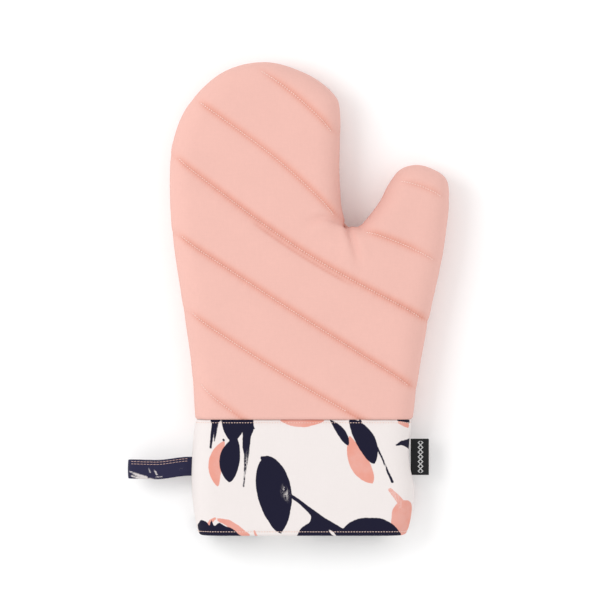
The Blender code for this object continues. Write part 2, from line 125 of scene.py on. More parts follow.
def hand_knots():
    """Points on the hand part's edge, from the cuff seam's thumb end over thumb, notch and fingertips."""
    tip = HAND_LENGTH
    notch = NOTCH_HEIGHT
    return np.array(
        [
            (SEAM_RIGHT, 0),
            (SEAM_RIGHT + 0.17 * (THUMB_SIDE - SEAM_RIGHT), 0.24 * notch),
            (SEAM_RIGHT + 0.45 * (THUMB_SIDE - SEAM_RIGHT), 0.53 * notch),
            (THUMB_SIDE - 5.0 * MM, notch - 22.0 * MM),
            (THUMB_SIDE - 1.7 * MM, notch - 0.5 * MM),
            (THUMB_SIDE, THUMB_TOP - 23.0 * MM),
            (THUMB_SIDE - 1.6 * MM, THUMB_TOP - 9.5 * MM),
            (THUMB_SIDE - 9.8 * MM, THUMB_TOP - 3.0 * MM),
            (THUMB_SIDE - 20.5 * MM, THUMB_TOP),
            (THUMB_SIDE - 31.0 * MM, THUMB_TOP - 3.0 * MM),
            (THUMB_SIDE - 38.4 * MM, THUMB_TOP - 12.0 * MM),
            (THUMB_SIDE - 44.0 * MM, THUMB_TOP - 23.0 * MM),
            (HALF + 16.5 * MM, notch + 5.6 * MM),
            (HALF + 11.9 * MM, notch + 1.1 * MM),
            (HALF + 7.6 * MM, notch),
            (HALF + 3.6 * MM, notch + 2.5 * MM),
            (HALF + 1.3 * MM, notch + 9.0 * MM),
            (HALF - 0.4 * MM, 0.5 * (notch + tip - 33 * MM)),
            (HALF, tip - 33.0 * MM),
            (0.92 * HALF, tip - 20.0 * MM),
            (0.60 * HALF, tip - 7.3 * MM),
            (0.12 * HALF, tip),
            (-0.38 * HALF, tip - 6.5 * MM),
            (-0.78 * HALF, tip - 27.0 * MM),
            (-0.96 * HALF, tip - 50.0 * MM),
            (-HALF, tip - 73.0 * MM),
            (-0.97 * HALF, 0.97 * notch),
            (-SEAM_LEFT - 0.47 * (HALF - SEAM_LEFT), 0.58 * notch),
            (-SEAM_LEFT - 0.16 * (HALF - SEAM_LEFT), 0.29 * notch),
            (-SEAM_LEFT, 0),
        ]
    )


def steps_along(path):
    """The length of each step of a polyline."""
    return np.linalg.norm(np.diff(path, axis=0), axis=1)


def ways_along(path):
    """How far along a polyline each of its points lies."""
    return np.append(0, np.cumsum(steps_along(path)))


def points_at(path, ways, at):
    """Points at given distances along a polyline; ways is how far along it its own points lie."""
    return np.stack([np.interp(at, ways, path[:, k]) for k in range(path.shape[1])], axis=1)


def even_points(path, points):
    """The given number of points at equal steps along a polyline."""
    ways = ways_along(path)
    return points_at(path, ways, np.linspace(0, ways[-1], points))


def smooth_curve(knots, points):
    """Points evenly spaced along the Catmull-Rom curve through the knots."""
    ends = (2 * knots[0] - knots[1], 2 * knots[-1] - knots[-2])
    run = np.vstack([ends[0], knots, ends[1]])
    t = np.linspace(0, 1, 24, endpoint=False)[:, None]
    pieces = []
    for a, b, c, d in zip(run, run[1:], run[2:], run[3:]):
        square, cube = 2 * a - 5 * b + 4 * c - d, 3 * b - a - 3 * c + d
        pieces.append(0.5 * (2 * b + (c - a) * t + square * t**2 + cube * t**3))
    return even_points(np.vstack([*pieces, knots[-1]]), points)


def cuff_sides(y):
    """The cuff's left and right edge at y, which runs from 0 at its seam down to minus its length."""
    down = np.clip(-y / CUFF_LENGTH, 0, 1)
    pinch = CUFF_PINCH * np.sin(math.pi * np.clip(1.75 * down, 0, 1))
    swell = CUFF_SWELL * np.sin(math.pi * down**2) ** 2
    left = -SEAM_LEFT - CUFF_BULGE * np.sin(math.pi * down) + CUFF_TAPER[0] * down**4
    right = SEAM_RIGHT - pinch + swell - CUFF_TAPER[1] * down**6
    return left, right


EDGE_TAIL = 20 * MM  # how far the hand's edge is drawn on past the cuff seam, so that its border stays even
HAND_EDGE = smooth_curve(hand_knots(), 420)
LONG_EDGE = np.vstack([HAND_EDGE[:1] - (0, EDGE_TAIL), HAND_EDGE, HAND_EDGE[-1:] - (0, EDGE_TAIL)])
LOOP_SIDE = cuff_sides(np.array([-LOOP_DROP]))[0][0]  # the cuff's edge where the loop is sewn in
MIDDLE = np.array([LOOP_SIDE - HINGE_OUT - LOOP_PIVOT.x, -LOOP_DROP - LOOP_PIVOT.y, -SEAM_LEVEL])


def place(points):
    """Pattern points, with height from the side seam, as points of the frame."""
    return points - MIDDLE


# ---------------------------------------------------------------- distances


def along_path(points, path, chunk=6000):
    """For each point: its signed distance from a polyline, left of it positive, and how far along that is."""
    start, run = path[:-1], np.diff(path, axis=0)
    long = (run**2).sum(1)
    before = np.append(0, np.cumsum(np.sqrt(long)))[:-1]
    signed, along = [], []
    for part in np.array_split(points, max(1, len(points) // chunk)):
        away = part[:, None] - start[None]
        share = np.clip((away * run).sum(2) / long, 0, 1)
        off = away - share[..., None] * run
        far = (off**2).sum(2)
        near = far.argmin(1)
        pick = np.arange(len(part)), near
        side = run[near, 0] * off[pick][:, 1] - run[near, 1] * off[pick][:, 0]
        signed.append(np.where(side < 0, -1, 1) * np.sqrt(far[pick]))
        along.append(before[near] + share[pick] * np.sqrt(long[near]))
    return np.concatenate(signed), np.concatenate(along)


FIELD_STEP = 0.8 * MM  # squares of the distance field, which covers the hand part and a margin round it
FIELD_X = np.arange(-64 * MM, 132 * MM, FIELD_STEP)
FIELD_Y = np.arange(-19 * MM, 236 * MM, FIELD_STEP)


def distance_field():
    """Distance inwards from the hand's edge on a grid, and its slope, each as a grid."""
    x, y = np.meshgrid(FIELD_X, FIELD_Y, indexing="ij")
    # The edge runs with the hand on its left.
    inside = along_path(np.stack([x.ravel(), y.ravel()], axis=1), LONG_EDGE)[0].reshape(x.shape)
    slope = np.stack(np.gradient(inside, FIELD_STEP), axis=-1)
    slope /= np.maximum(np.linalg.norm(slope, axis=-1), 1e-6)[..., None]
    return np.concatenate([inside[..., None], slope], axis=-1)


def read_field(field, points):
    """The field's values at points, weighted between the four grid points round each."""
    across = np.clip((points[:, 0] - FIELD_X[0]) / FIELD_STEP, 0, len(FIELD_X) - 1.001)
    up = np.clip((points[:, 1] - FIELD_Y[0]) / FIELD_STEP, 0, len(FIELD_Y) - 1.001)
    i, j = across.astype(int), up.astype(int)
    s, t = (across - i)[:, None], (up - j)[:, None]
    return (
        field[i, j] * (1 - s) * (1 - t)
        + field[i + 1, j] * s * (1 - t)
        + field[i, j + 1] * (1 - s) * t
        + field[i + 1, j + 1] * s * t
    )


FIELD = distance_field()

# ---------------------------------------------------------------- meshes


def mesh_arrays(mesh):
    """A mesh's points, its corners' point numbers and where each face's corners start."""
    points = np.empty(len(mesh.vertices) * 3, np.float32)
    mesh.vertices.foreach_get("co", points)
    corners = np.empty(len(mesh.loops), np.int32)
    mesh.loops.foreach_get("vertex_index", corners)
    starts = np.empty(len(mesh.polygons), np.int32)
    mesh.polygons.foreach_get("loop_start", starts)
    return points.reshape(-1, 3).astype(float), corners, starts


def new_mesh(name, points, corners, starts):
    """A smooth-shaded mesh from whole arrays."""
    mesh = bpy.data.meshes.new(name)
    mesh.vertices.add(len(points))
    mesh.loops.add(len(corners))
    mesh.polygons.add(len(starts))
    mesh.vertices.foreach_set("co", np.asarray(points, np.float32).ravel())
    mesh.loops.foreach_set("vertex_index", np.asarray(corners, np.int32))
    mesh.polygons.foreach_set("loop_start", np.asarray(starts, np.int32))
    mesh.update(calc_edges=True)
    mesh.validate()
    mesh.shade_smooth()
    return mesh


def add_piece(name, mesh):
    """An object at the origin that shows the mesh."""
    item = bpy.data.objects.new(name, mesh)
    bpy.context.scene.collection.objects.link(item)
    return item


def discard(item):
    """Removes an object and its mesh."""
    mesh = item.data
    bpy.data.objects.remove(item)
    bpy.data.meshes.remove(mesh)


def next_corners(corners, starts):
    """For each corner, the point number of the corner after it in its face."""
    after = np.roll(corners, -1)
    ends = np.append(starts[1:], len(corners)) - 1
    after[ends] = corners[starts]
    return after


def reverse_faces(corners, starts):
    """The corners of the same faces, turned the other way round."""
    ends = np.append(starts[1:], len(corners))
    face = np.repeat(np.arange(len(starts)), ends - starts)
    return corners[starts[face] + ends[face] - 1 - np.arange(len(corners))]


def shell(name, outer, inner, corners, starts):
    """A closed shell: an outer face, the same face turned round as its inner one, and a rim between them."""
    count = len(outer)
    after = next_corners(corners, starts)
    forward = corners.astype(np.int64) * count + after
    backward = after.astype(np.int64) * count + corners
    rim = ~np.isin(forward, backward)
    a, b = corners[rim], after[rim]
    wall = np.stack([b, a, a + count, b + count], axis=1).ravel()
    every = np.concatenate([corners, reverse_faces(corners, starts) + count, wall])
    first = len(corners)
    more = 2 * first + 4 * np.arange(len(a))
    return new_mesh(name, np.vstack([outer, inner]), every, np.concatenate([starts, starts + first, more]))


def grid_corners(rows, columns, wrap=False):
    """Corners and starts of a grid's square faces; wrap joins its last column to its first."""
    number = np.arange(rows * columns).reshape(rows, columns)
    right = np.roll(number, -1, axis=1) if wrap else number[:, 1:]
    left = number if wrap else number[:, :-1]
    quads = np.stack([left[:-1], left[1:], right[1:], right[:-1]], axis=-1).reshape(-1, 4)
    return quads.ravel(), np.arange(len(quads)) * 4


def give_values(mesh, **values):
    """Stores numbers on the mesh's points as attributes; a shell's inner face has its outer face's values."""
    for name, numbers in values.items():
        numbers = np.asarray(numbers, np.float32)
        if len(numbers) < len(mesh.vertices):
            numbers = np.concatenate([numbers, numbers])
        mesh.attributes.new(name, "FLOAT", "POINT").data.foreach_set("value", numbers)


def give_uv(mesh, flat):
    """The cloth's own flat coordinates, in metres, as the mesh's UV map."""
    if len(flat) < len(mesh.vertices):
        flat = np.concatenate([flat, flat])
    corners = mesh_arrays(mesh)[1]
    layer = mesh.uv_layers.new(name="cloth")
    layer.uv.foreach_set("vector", flat[corners].astype(np.float32).ravel())


# ---------------------------------------------------------------- hand part

BODY_STEP = 4.4 * MM  # squares of the body's first mesh
SLAB_END = -12 * MM  # where the body's slab is cut, past the cuff seam


def evaluated(item):
    """A copy of the object's mesh with its modifiers applied; the object is removed."""
    graph = bpy.context.evaluated_depsgraph_get()
    mesh = bpy.data.meshes.new_from_object(item.evaluated_get(graph))
    discard(item)
    return mesh


def body_slab():
    """The hand's outline as a flat slab as thick as the mitt, remeshed to even squares."""
    edge = even_points(LONG_EDGE, 260)
    edge = edge[edge[:, 1] > SLAB_END]
    edge = np.vstack([(edge[0, 0], SLAB_END), edge, (edge[-1, 0], SLAB_END)])
    count = len(edge)
    points = np.vstack([np.column_stack([edge, np.full(count, rise)]) for rise in (FRONT_RISE, -BACK_RISE)])
    ring = np.arange(count)
    after = np.roll(ring, -1)
    wall = np.stack([ring, ring + count, after + count, after], axis=1).ravel()
    corners = np.concatenate([ring, ring[::-1] + count, wall])
    starts = np.concatenate([[0, count], 2 * count + 4 * ring])
    item = add_piece("slab", new_mesh("slab", points, corners, starts))
    squares = item.modifiers.new("squares", "REMESH")
    squares.mode = "VOXEL"
    squares.voxel_size = BODY_STEP
    bpy.context.view_layer.update()
    return evaluated(item)


def on_profile(points, inset):
    """Points carried straight outwards or inwards on to the rounded profile of the layer at that inset.

    The profile is a quarter of a fuller ellipse across the border and flat inside it. Returns the new points,
    the outward direction of the profile there, and each point's distance from the edge.
    """
    here = read_field(FIELD, points)
    distance, slope = here[:, 0], here[:, 1:]
    rise = np.where(points[:, 2] > 0, FRONT_RISE, BACK_RISE)
    across = np.clip((EDGE_ROUND - distance) / EDGE_ROUND, 0, 1.2)
    high = points[:, 2] / rise
    far = np.maximum((across**FULLNESS + np.abs(high) ** FULLNESS) ** (1 / FULLNESS), 0.05)
    across, high = across / far, high / far
    moved = np.where(distance < EDGE_ROUND, EDGE_ROUND - across * (EDGE_ROUND - inset), distance)
    flat = points[:, :2] + slope * (moved - distance)[:, None]
    steep = np.sign(high) * np.abs(high) ** (FULLNESS - 1) / rise
    outward = np.column_stack([-slope * (across ** (FULLNESS - 1) / EDGE_ROUND)[:, None], steep])
    outward /= np.linalg.norm(outward, axis=1)[:, None]
    return np.column_stack([flat, high * (rise - inset)]), outward, moved


def ramp(value, start, end):
    """0 below start, 1 above end, and a smooth step between them."""
    t = np.clip((value - start) / (end - start), 0, 1)
    return t * t * (3 - 2 * t)


def bell(value, half):
    """1 where the value is 0, falling off as a bell curve of that half width."""
    return np.exp(-((value / half) ** 2))


def row_path(name):
    """A quilting row's middle line, from its start on the little-finger side."""
    knots = np.array(QUILT_ROWS[name][:3], float) * MM + (0, NOTCH_HEIGHT)
    return smooth_curve(knots, 60)


def groove_shape(off, depth):
    """A groove's drop at a distance from its row: it falls off exponentially, more steeply above the row than
    below, and a low lip stands along its upper side."""
    away = np.hypot(off, CREASE_FLOOR) - CREASE_FLOOR
    above, below = np.where(off > 0, away, 0), np.where(off > 0, 0, away)
    steep = np.exp(-above / CREASE) * bell(above, 2.4 * CREASE)
    gentle = 0.40 * np.exp(-below / CREASE) + 0.60 * bell(below, BANK)
    lip = 0.22 * bell(above - LIP_AT, LIP_HALF)
    return depth * np.where(off > 0, steep - lip, gentle)


def row_values(flat, edge):
    """For each point: the drop of all rows' grooves together, then for the nearest row its distance, upwards
    positive, the way along it and its depth, which fades out far from it."""
    best = np.full(len(flat), 1.0)
    values = np.zeros((3, len(flat)))
    drop = np.zeros(len(flat))
    near_start = 0.22 + 0.78 * ramp(edge, 2 * MM, 15 * MM)
    near_end = 0.25 + 0.75 * ramp(edge, 1 * MM, 10 * MM)
    for number, name in enumerate(QUILT_ROWS):
        path = row_path(name)
        off, along = along_path(flat, path)
        length = steps_along(path).sum()
        second_half = ramp(along, 0.4 * length, 0.6 * length)
        shallow = near_start + (near_end - near_start) * second_half
        uneven = 0.86 + 0.14 * np.sin(along / (19 * MM) + 2.1 * number)
        depth = QUILT_ROWS[name][3] * MM * shallow * uneven
        if name == "row_thumb_1":
            depth = depth * (1 - 0.55 * ramp(along, 26 * MM, 46 * MM))
        drop += groove_shape(off, depth)
        closer = np.abs(off) < best
        best = np.where(closer, np.abs(off), best)
        values = np.where(closer, np.stack([off, along, depth]), values)
    values[2] *= 1 - ramp(best, 6 * MM, 9 * MM)
    return drop, *values


def waves(x, y, seed, count=9, shortest=22 * MM, longest=75 * MM):
    """A smooth uneven field from -1 to 1: sine waves of several lengths and directions added together."""
    draw = np.random.default_rng(seed)
    total = np.zeros(len(x))
    for angle, length, phase in zip(
        draw.uniform(0, math.pi, count), draw.uniform(shortest, longest, count), draw.uniform(0, 6.28, count)
    ):
        total += np.sin((x * math.cos(angle) + y * math.sin(angle)) * 2 * math.pi / length + phase)
    return total / math.sqrt(count) / 1.6


PUCKER_PITCH = 1.7 * MM  # from one short crease beside a row to the next
CREASE = 1.8 * MM  # half width of a groove's sharp middle
CREASE_FLOOR = 0.45 * MM  # how round its bottom is
BANK = 5.5 * MM  # half width of the dip round it
LIP_AT, LIP_HALF = 4.2 * MM, 3.2 * MM  # the raised lip above a row: its distance and half width
SECOND_CREASE = -3.0 * MM, 0.7 * MM, 0.45 * MM  # a fold below the third row: distance, half width, depth
RIPPLE = 0.16 * MM, 8.3 * MM, 31 * MM  # small waves along a groove: height, length and drift
UNEVEN = 0.30 * MM  # height of the broad waves all over the cloth
SEAM_DIP = 1.1 * MM  # how far the cloth turns down to the cuff seam
SEAM_ROLL = 1.5 * MM  # over what length it does so
SIDE_DIP = 0.9 * MM, 1.3 * MM  # how far it dips at the side seam, and over what height
BACK_PROUD = 0.05 * MM  # how far the back's cloth may stand out where the mitt lies on it


def relief(points, front, puff, depth):
    """How far the quilted cloth stands out from its profile, and the numbers its material needs.

    Grooves fall off exponentially from each row, more steeply above it than below; the cloth swells between
    them by puff, rolls down to the cuff seam and dips at the side seam, with low waves and pulled folds.
    """
    flat = points[:, :2]
    edge = read_field(FIELD, flat)[:, 0]
    drop, off, along, groove = row_values(flat, edge)
    out, groove = -drop * depth, groove * depth
    under, way = along_path(flat, row_path("row_3"))
    second = ramp(way, 62 * MM, 76 * MM) * (1 - ramp(way, 128 * MM, 146 * MM)) * front
    second = second * bell(under - SECOND_CREASE[0], SECOND_CREASE[1])
    out -= SECOND_CREASE[2] * second
    near = np.exp(-np.abs(off) / (4.5 * MM))
    ripple = np.sin(along / RIPPLE[1] * 2 * math.pi + 1.7 * np.sin(along / RIPPLE[2]))
    out += RIPPLE[0] * near * ripple * (groove / (1.5 * MM))
    out += UNEVEN * waves(flat[:, 0], flat[:, 1], 5) * ramp(edge, 1 * MM, 12 * MM)
    if front:
        for knots, deep, half in NOTCH_FOLDS:
            path = smooth_curve(np.array(knots, float) * MM + (0, NOTCH_HEIGHT), 30)
            away, way = along_path(flat, path)
            length = steps_along(path).sum()
            fade = 1 - ramp(way, 0.45 * length, length)
            wide = half * MM * (1 + way / length)
            out -= deep * MM * fade * bell(away, wide)
            out += 0.45 * deep * MM * fade * bell(np.abs(away) - 2.6 * wide, 1.5 * wide)
    roll = np.clip(1 - flat[:, 1] / SEAM_ROLL, 0, 1)
    out -= SEAM_DIP * (1 - np.sqrt(np.clip(1 - roll**2, 0, 1)))
    out += puff * ramp(flat[:, 1], 0, 9 * MM)
    if not front:
        out = np.where(points[:, 2] < -BACK_RISE + 1.5 * MM, np.minimum(out, BACK_PROUD), out)
    out -= SIDE_DIP[0] * np.exp(-np.abs(points[:, 2]) / SIDE_DIP[1])
    return out, {"row_off": off, "row_along": along, "row_depth": groove, "edge": edge, "second": second}


def unrolled(points, distance):
    """The cloth's flat coordinates: as seen from above, with the border's curve laid out to its length."""
    slope = read_field(FIELD, points)[:, 1:]
    rise = np.where(points[:, 2] > 0, FRONT_RISE, BACK_RISE)
    turn = np.arccos(np.clip((EDGE_ROUND - distance) / EDGE_ROUND, 0, 1))
    laid = (math.pi / 2 - turn) * np.sqrt((EDGE_ROUND**2 + rise**2) / 2)
    return points[:, :2] - slope * (laid - (EDGE_ROUND - np.minimum(distance, EDGE_ROUND)))[:, None]


BODY = {}
SWELL_CAP = 2.2 * MM  # how far the filling may push the cloth out between its rows
SWELL_PRESSURE = 4
SWELL_FRAMES = 20
HOLD_LEVELS = 20  # steps from free cloth to held cloth


def swell(points, corners, starts):
    """Blows the slab up as cloth, with its rows, borders and seams held; gives each point's height gained."""
    flat = points[:, :2]
    edge = read_field(FIELD, flat)[:, 0]
    off = np.abs(row_values(flat, edge)[1])
    held = np.maximum(1 - ramp(off, 1 * MM, 6 * MM), 1 - ramp(edge, 3 * MM, 14 * MM))
    held = np.maximum(held, 1 - ramp(flat[:, 1], 0, 9 * MM))
    item = add_piece("swelling", new_mesh("swelling", points, corners, starts))
    group = item.vertex_groups.new(name="held")
    levels = np.round(held * HOLD_LEVELS).astype(int)
    for level in range(1, HOLD_LEVELS + 1):
        group.add(np.flatnonzero(levels == level).tolist(), level / HOLD_LEVELS, "REPLACE")
    cloth = item.modifiers.new("cloth", "CLOTH")
    settings = cloth.settings
    settings.use_pressure = True
    settings.uniform_pressure_force = SWELL_PRESSURE
    settings.effector_weights.gravity = 0
    settings.vertex_group_mass = "held"
    cloth.collision_settings.use_self_collision = False
    scene = bpy.context.scene
    for number in range(1, SWELL_FRAMES + 1):
        scene.frame_set(number)
    graph = bpy.context.evaluated_depsgraph_get()
    moved, _, _ = mesh_arrays(item.evaluated_get(graph).data)
    scene.frame_set(1)
    discard(item)
    gained = np.clip((moved - points)[:, 2] * np.sign(points[:, 2]), 0, None)
    if gained.max() < 0.1 * MM:
        raise RuntimeError("the cloth did not swell")
    return SWELL_CAP * (1 - np.exp(-gained / SWELL_CAP)) * (1 - held)


def body():
    """The hand's body as an even closed mesh on its outer profile, made once, with each point's swelling."""
    if not BODY:
        slab, corners, starts = mesh_arrays(body_slab())
        puff = swell(slab, corners, starts)
        BODY["arrays"] = on_profile(slab, 0)[0], corners, starts, puff
    return BODY["arrays"]


def half_body(front, levels):
    """One half of the body, cut at the side seam's level and at the cuff seam, with finer squares."""
    points, corners, starts, puff = body()
    mesh = new_mesh("half", points, corners, starts)
    give_values(mesh, puff=puff)
    item = add_piece("half", mesh)
    finer = item.modifiers.new("finer", "SUBSURF")
    finer.levels = finer.render_levels = levels
    bpy.context.view_layer.update()
    mesh = evaluated(item)
    fine = on_profile(mesh_arrays(mesh)[0], 0)[0]
    mesh.vertices.foreach_set("co", fine.astype(np.float32).ravel())
    work = bmesh.new()
    work.from_mesh(mesh)
    side = 1 if front else -1
    for at, way in (((0, 0, side * SEAM_GAP), (0, 0, side)), ((0, 0, 0), (0, 1, 0))):
        every = work.verts[:] + work.edges[:] + work.faces[:]
        bmesh.ops.bisect_plane(work, geom=every, dist=1e-6, plane_co=at, plane_no=way, clear_inner=True)
    bmesh.ops.remove_doubles(work, verts=work.verts, dist=0.12 * MM)
    work.to_mesh(mesh)
    work.free()
    values = np.empty(len(mesh.vertices), np.float32)
    mesh.attributes["puff"].data.foreach_get("value", values)
    found = (*mesh_arrays(mesh), values.astype(float))
    bpy.data.meshes.remove(mesh)
    return found


def hand_layer(name, front, levels, layer, follow, depth):
    """One layer of the hand between two insets; follow is each face's share of the quilting's relief."""
    points, corners, starts, puff = half_body(front, levels)
    base, outward, distance = on_profile(points, 0)
    out, values = relief(base, front, puff, depth)
    faces = []
    for inset, share in zip(layer, follow):
        nested, _, _ = on_profile(points, inset)
        faces.append(place(nested + outward * (out * share)[:, None]))
    mesh = shell(name, faces[0], faces[1], corners, starts)
    give_values(mesh, **values)
    give_uv(mesh, unrolled(base, distance))
    return add_piece(name, mesh)


# ---------------------------------------------------------------- threads


STITCH_SIDES = 6
STITCH_PROUD = 0.35  # how far a stitch's middle lies above the cloth, as a share of its thread


def stitch_template(length, radius):
    """One stitch: a thread of round section whose ends taper and sink, as rings round a bowed line."""
    along = np.array([-1, -0.8, -0.35, 0.35, 0.8, 1])
    thick = np.array([0.25, 0.8, 1, 1, 0.8, 0.25])
    sink = 0.9 * along**4
    turn = np.linspace(0, 2 * math.pi, STITCH_SIDES, endpoint=False)
    side = radius * thick[:, None] * np.cos(turn)
    up = radius * (thick[:, None] * np.sin(turn) - sink[:, None])
    run = np.broadcast_to(along[:, None] * length / 2, side.shape)
    points = np.stack([run, side, up], axis=-1).reshape(-1, 3)
    corners, starts = grid_corners(len(along), len(turn), wrap=True)
    ring = np.arange(STITCH_SIDES)
    corners = np.concatenate([corners, ring[::-1], ring + len(points) - STITCH_SIDES])
    return points, corners, np.append(starts, len(starts) * 4 + np.array([0, STITCH_SIDES]))


def stitches(name, path, up, pitch, length, radius):
    """A row of equal stitches along a path, each turned to the path and to the cloth's outward direction."""
    ways = ways_along(path)
    count = max(2, int(ways[-1] / pitch))
    at = (np.arange(count) + 0.5) * ways[-1] / count
    middle = points_at(path, ways, at)
    run = points_at(path, ways, at + length / 2) - points_at(path, ways, at - length / 2)
    run /= np.linalg.norm(run, axis=1)[:, None]
    side = np.cross(points_at(up, ways, at), run)
    side /= np.linalg.norm(side, axis=1)[:, None]
    lift = np.cross(run, side)
    template, corners, starts = stitch_template(length, radius)
    long, wide, high = (template[None, :, k : k + 1] for k in range(3))
    points = middle[:, None] + (long * run[:, None] + wide * side[:, None] + high * lift[:, None])
    every = (corners[None] + len(template) * np.arange(count)[:, None]).ravel()
    first = (starts[None] + len(corners) * np.arange(count)[:, None]).ravel()
    mesh = new_mesh(name, place(points.reshape(-1, 3)), every, first)
    return add_piece(name, mesh)


ROW_END = 3.5 * MM  # side seam to a quilting row's last stitch
ROW_ABOVE_SEAM = 5 * MM  # cuff seam to a quilting row's last stitch


def quilting_stitches(name, front, sizes):
    """The stitches of one quilting row, lying in the bottom of its groove."""
    path = even_points(row_path(name), 240)
    keep = (read_field(FIELD, path)[:, 0] > ROW_END) & (path[:, 1] > ROW_ABOVE_SEAM)
    path = path[keep]
    rise = FRONT_RISE if front else -BACK_RISE
    start = np.column_stack([path, np.full(len(path), rise)])
    base, outward, _ = on_profile(start, 0)
    out, _ = relief(base, front, np.zeros(len(base)), sizes.quilt_depth)
    lie = base + outward * (out + STITCH_PROUD * sizes.thread)[:, None]
    face = "front" if front else "back"
    pitch, length, radius = sizes.stitch_pitch, sizes.stitch_length, sizes.thread / 2
    return stitches(f"stitches_{name}_{face}", lie, outward, pitch, length, radius)


# ---------------------------------------------------------------- cuff

CUFF_STEP_X = 0.8 * MM  # the cuff's squares
TOPSTITCH_DROP = 2.0 * MM  # cuff seam to the row of stitching under it
HEM_STITCH_DROP = CUFF_LENGTH - 2.6 * MM
CUFF_DIP = 0.7 * MM, 0.9 * MM  # the cloth's dip at the cuff seam: depth and half width
CUFF_SINK = 0.35 * MM, 5 * MM  # the broader one round it: depth and reach
CUFF_ROWS = ("cuff_top", "cuff_topstitch", TOPSTITCH_DROP), ("hem", "hem_stitch", HEM_STITCH_DROP)
CUFF_GROOVES = (TOPSTITCH_DROP, 0.55 * MM, 0.8 * MM), (HEM_STITCH_DROP, 0.65 * MM, 0.9 * MM)
CRIMPS = TOPSTITCH_DROP + 1.5 * MM, HEM_STITCH_DROP - 1 * MM  # where short waves lie beside the stitching
CRIMP_HALF = 2.6 * MM  # how far they reach
HEM_TURN = math.radians(150)  # how far round the open edge the outer cloth goes


def cuff_surface(front, drop, inset, step=CUFF_STEP_X):
    """A grid on one face of the cuff: a row for each (drop, inset), columns from its left seam to its right.

    Across its border each row is a quarter of a fuller ellipse at that inset; between the borders it is flat.
    """
    rise = (FRONT_RISE if front else BACK_RISE) - CUFF_STEP
    border = round(math.pi / 2 * EDGE_ROUND / step)
    middle = round((SEAM_WIDTH - 2 * EDGE_ROUND) / step)
    turn = np.linspace(0, math.pi / 2, border + 1)
    left, right = cuff_sides(-drop)
    nested = (EDGE_ROUND - inset)[:, None]
    level, steep = np.cos(turn).clip(0) ** (2 / FULLNESS), np.sin(turn) ** (2 / FULLNESS)
    near = inset[:, None] + nested * (1 - level)
    high = (rise - inset)[:, None] * steep
    share = np.linspace(0, 1, middle + 1)[1:-1]
    span = (right - left)[:, None]
    flat = EDGE_ROUND + share * (span - 2 * EDGE_ROUND)
    across = np.hstack([near, flat, span - near[:, ::-1]])
    top = np.repeat((rise - inset)[:, None], len(share), axis=1)
    height = np.hstack([high, top, high[:, ::-1]])
    grid = np.dstack([left[:, None] + across, np.repeat(-drop[:, None], across.shape[1], axis=1), height])
    lean, tall = level ** (FULLNESS - 1) / EDGE_ROUND, steep ** (FULLNESS - 1) / rise
    lean = np.concatenate([lean, np.zeros(len(share)), -lean[::-1]])
    tall = np.concatenate([tall, np.full(len(share), 1 / rise), tall[::-1]])
    outward = np.stack([-lean, np.zeros(len(lean)), tall], axis=-1)
    outward /= np.linalg.norm(outward, axis=-1)[:, None]
    return grid, np.broadcast_to(outward, grid.shape).copy()


def hem_path(depth, start, stop):
    """The outer cloth's way at a depth under its face: straight down to the hem, round it by an angle, as
    (drop, inset) with start and stop as drops, or angles past the straight part."""
    straight = CUFF_LENGTH - HEM_RADIUS
    drop = np.linspace(start, straight, 90)
    turn = np.linspace(0, stop, 14)[1:]
    radius = HEM_RADIUS - depth
    down = np.concatenate([drop, straight + radius * np.sin(turn)])
    inset = np.concatenate([np.full(len(drop), depth), HEM_RADIUS - radius * np.cos(turn)])
    return down, inset


def facing_path(depth, turn_from):
    """The facing's way at a depth under its inner face: round the rest of the hem and up to the seam."""
    straight = CUFF_LENGTH - HEM_RADIUS
    radius = HEM_RADIUS - depth
    turn = np.linspace(turn_from, math.pi, 6)[:-1]
    drop = np.linspace(straight, CUFF_START, 30)
    down = np.concatenate([straight + radius * np.sin(turn), drop])
    inset = np.concatenate([HEM_RADIUS - radius * np.cos(turn), np.full(len(drop), 2 * HEM_RADIUS - depth)])
    return down, inset


def cuff_relief(grid, drop, front):
    """How far the cuff's outer cloth stands out: a dip at its seam, a groove under each row of stitching with
    short waves beside it, and low uneven waves."""
    x, y = grid[..., 0], grid[..., 1]
    down = drop[:, None]
    out = -CUFF_DIP[0] * bell(down, CUFF_DIP[1]) - CUFF_SINK[0] * np.exp(-down / CUFF_SINK[1])
    for at, deep, half in CUFF_GROOVES:
        out = out - deep * np.exp(-np.abs(down - at) / half)
    flat = waves(x.ravel(), y.ravel(), 11, shortest=18 * MM, longest=60 * MM).reshape(x.shape)
    crimp = np.sin(x / (6.3 * MM) * 2 * math.pi + 2 * np.sin(x / (17 * MM)))
    out = out + 0.28 * MM * flat * ramp(down, 2 * MM, 14 * MM)
    near = sum(np.exp(-np.abs(down - at) / CRIMP_HALF) for at in CRIMPS)
    out = out + 0.10 * MM * crimp * near
    return out if front else np.minimum(out, BACK_PROUD)


def turned(grid, front):
    """A front grid turned down for the back half; both halves stand clear of the side seam's level."""
    moved = grid.copy()
    side = 1 if front else -1
    moved[..., 2] = side * (SEAM_GAP + grid[..., 2])
    return moved


def cuff_layer(name, front, paths, follow):
    """One layer of the cuff between two ways down it, each as (drop, inset), and its flat coordinates."""
    faces = []
    for (drop, inset), share in zip(paths, follow):
        grid, outward = cuff_surface(front, drop, inset)
        out = cuff_relief(grid, drop, front) * share
        faces.append(turned(grid + outward * out[..., None], front))
    rows, columns = faces[0].shape[:2]
    corners, starts = grid_corners(rows, columns)
    if not front:
        corners = reverse_faces(corners, starts)
    flat = cuff_flat(*paths[0], front)
    mesh = shell(name, *(place(face.reshape(-1, 3)) for face in faces), corners, starts)
    give_uv(mesh, flat)
    return add_piece(name, mesh), flat


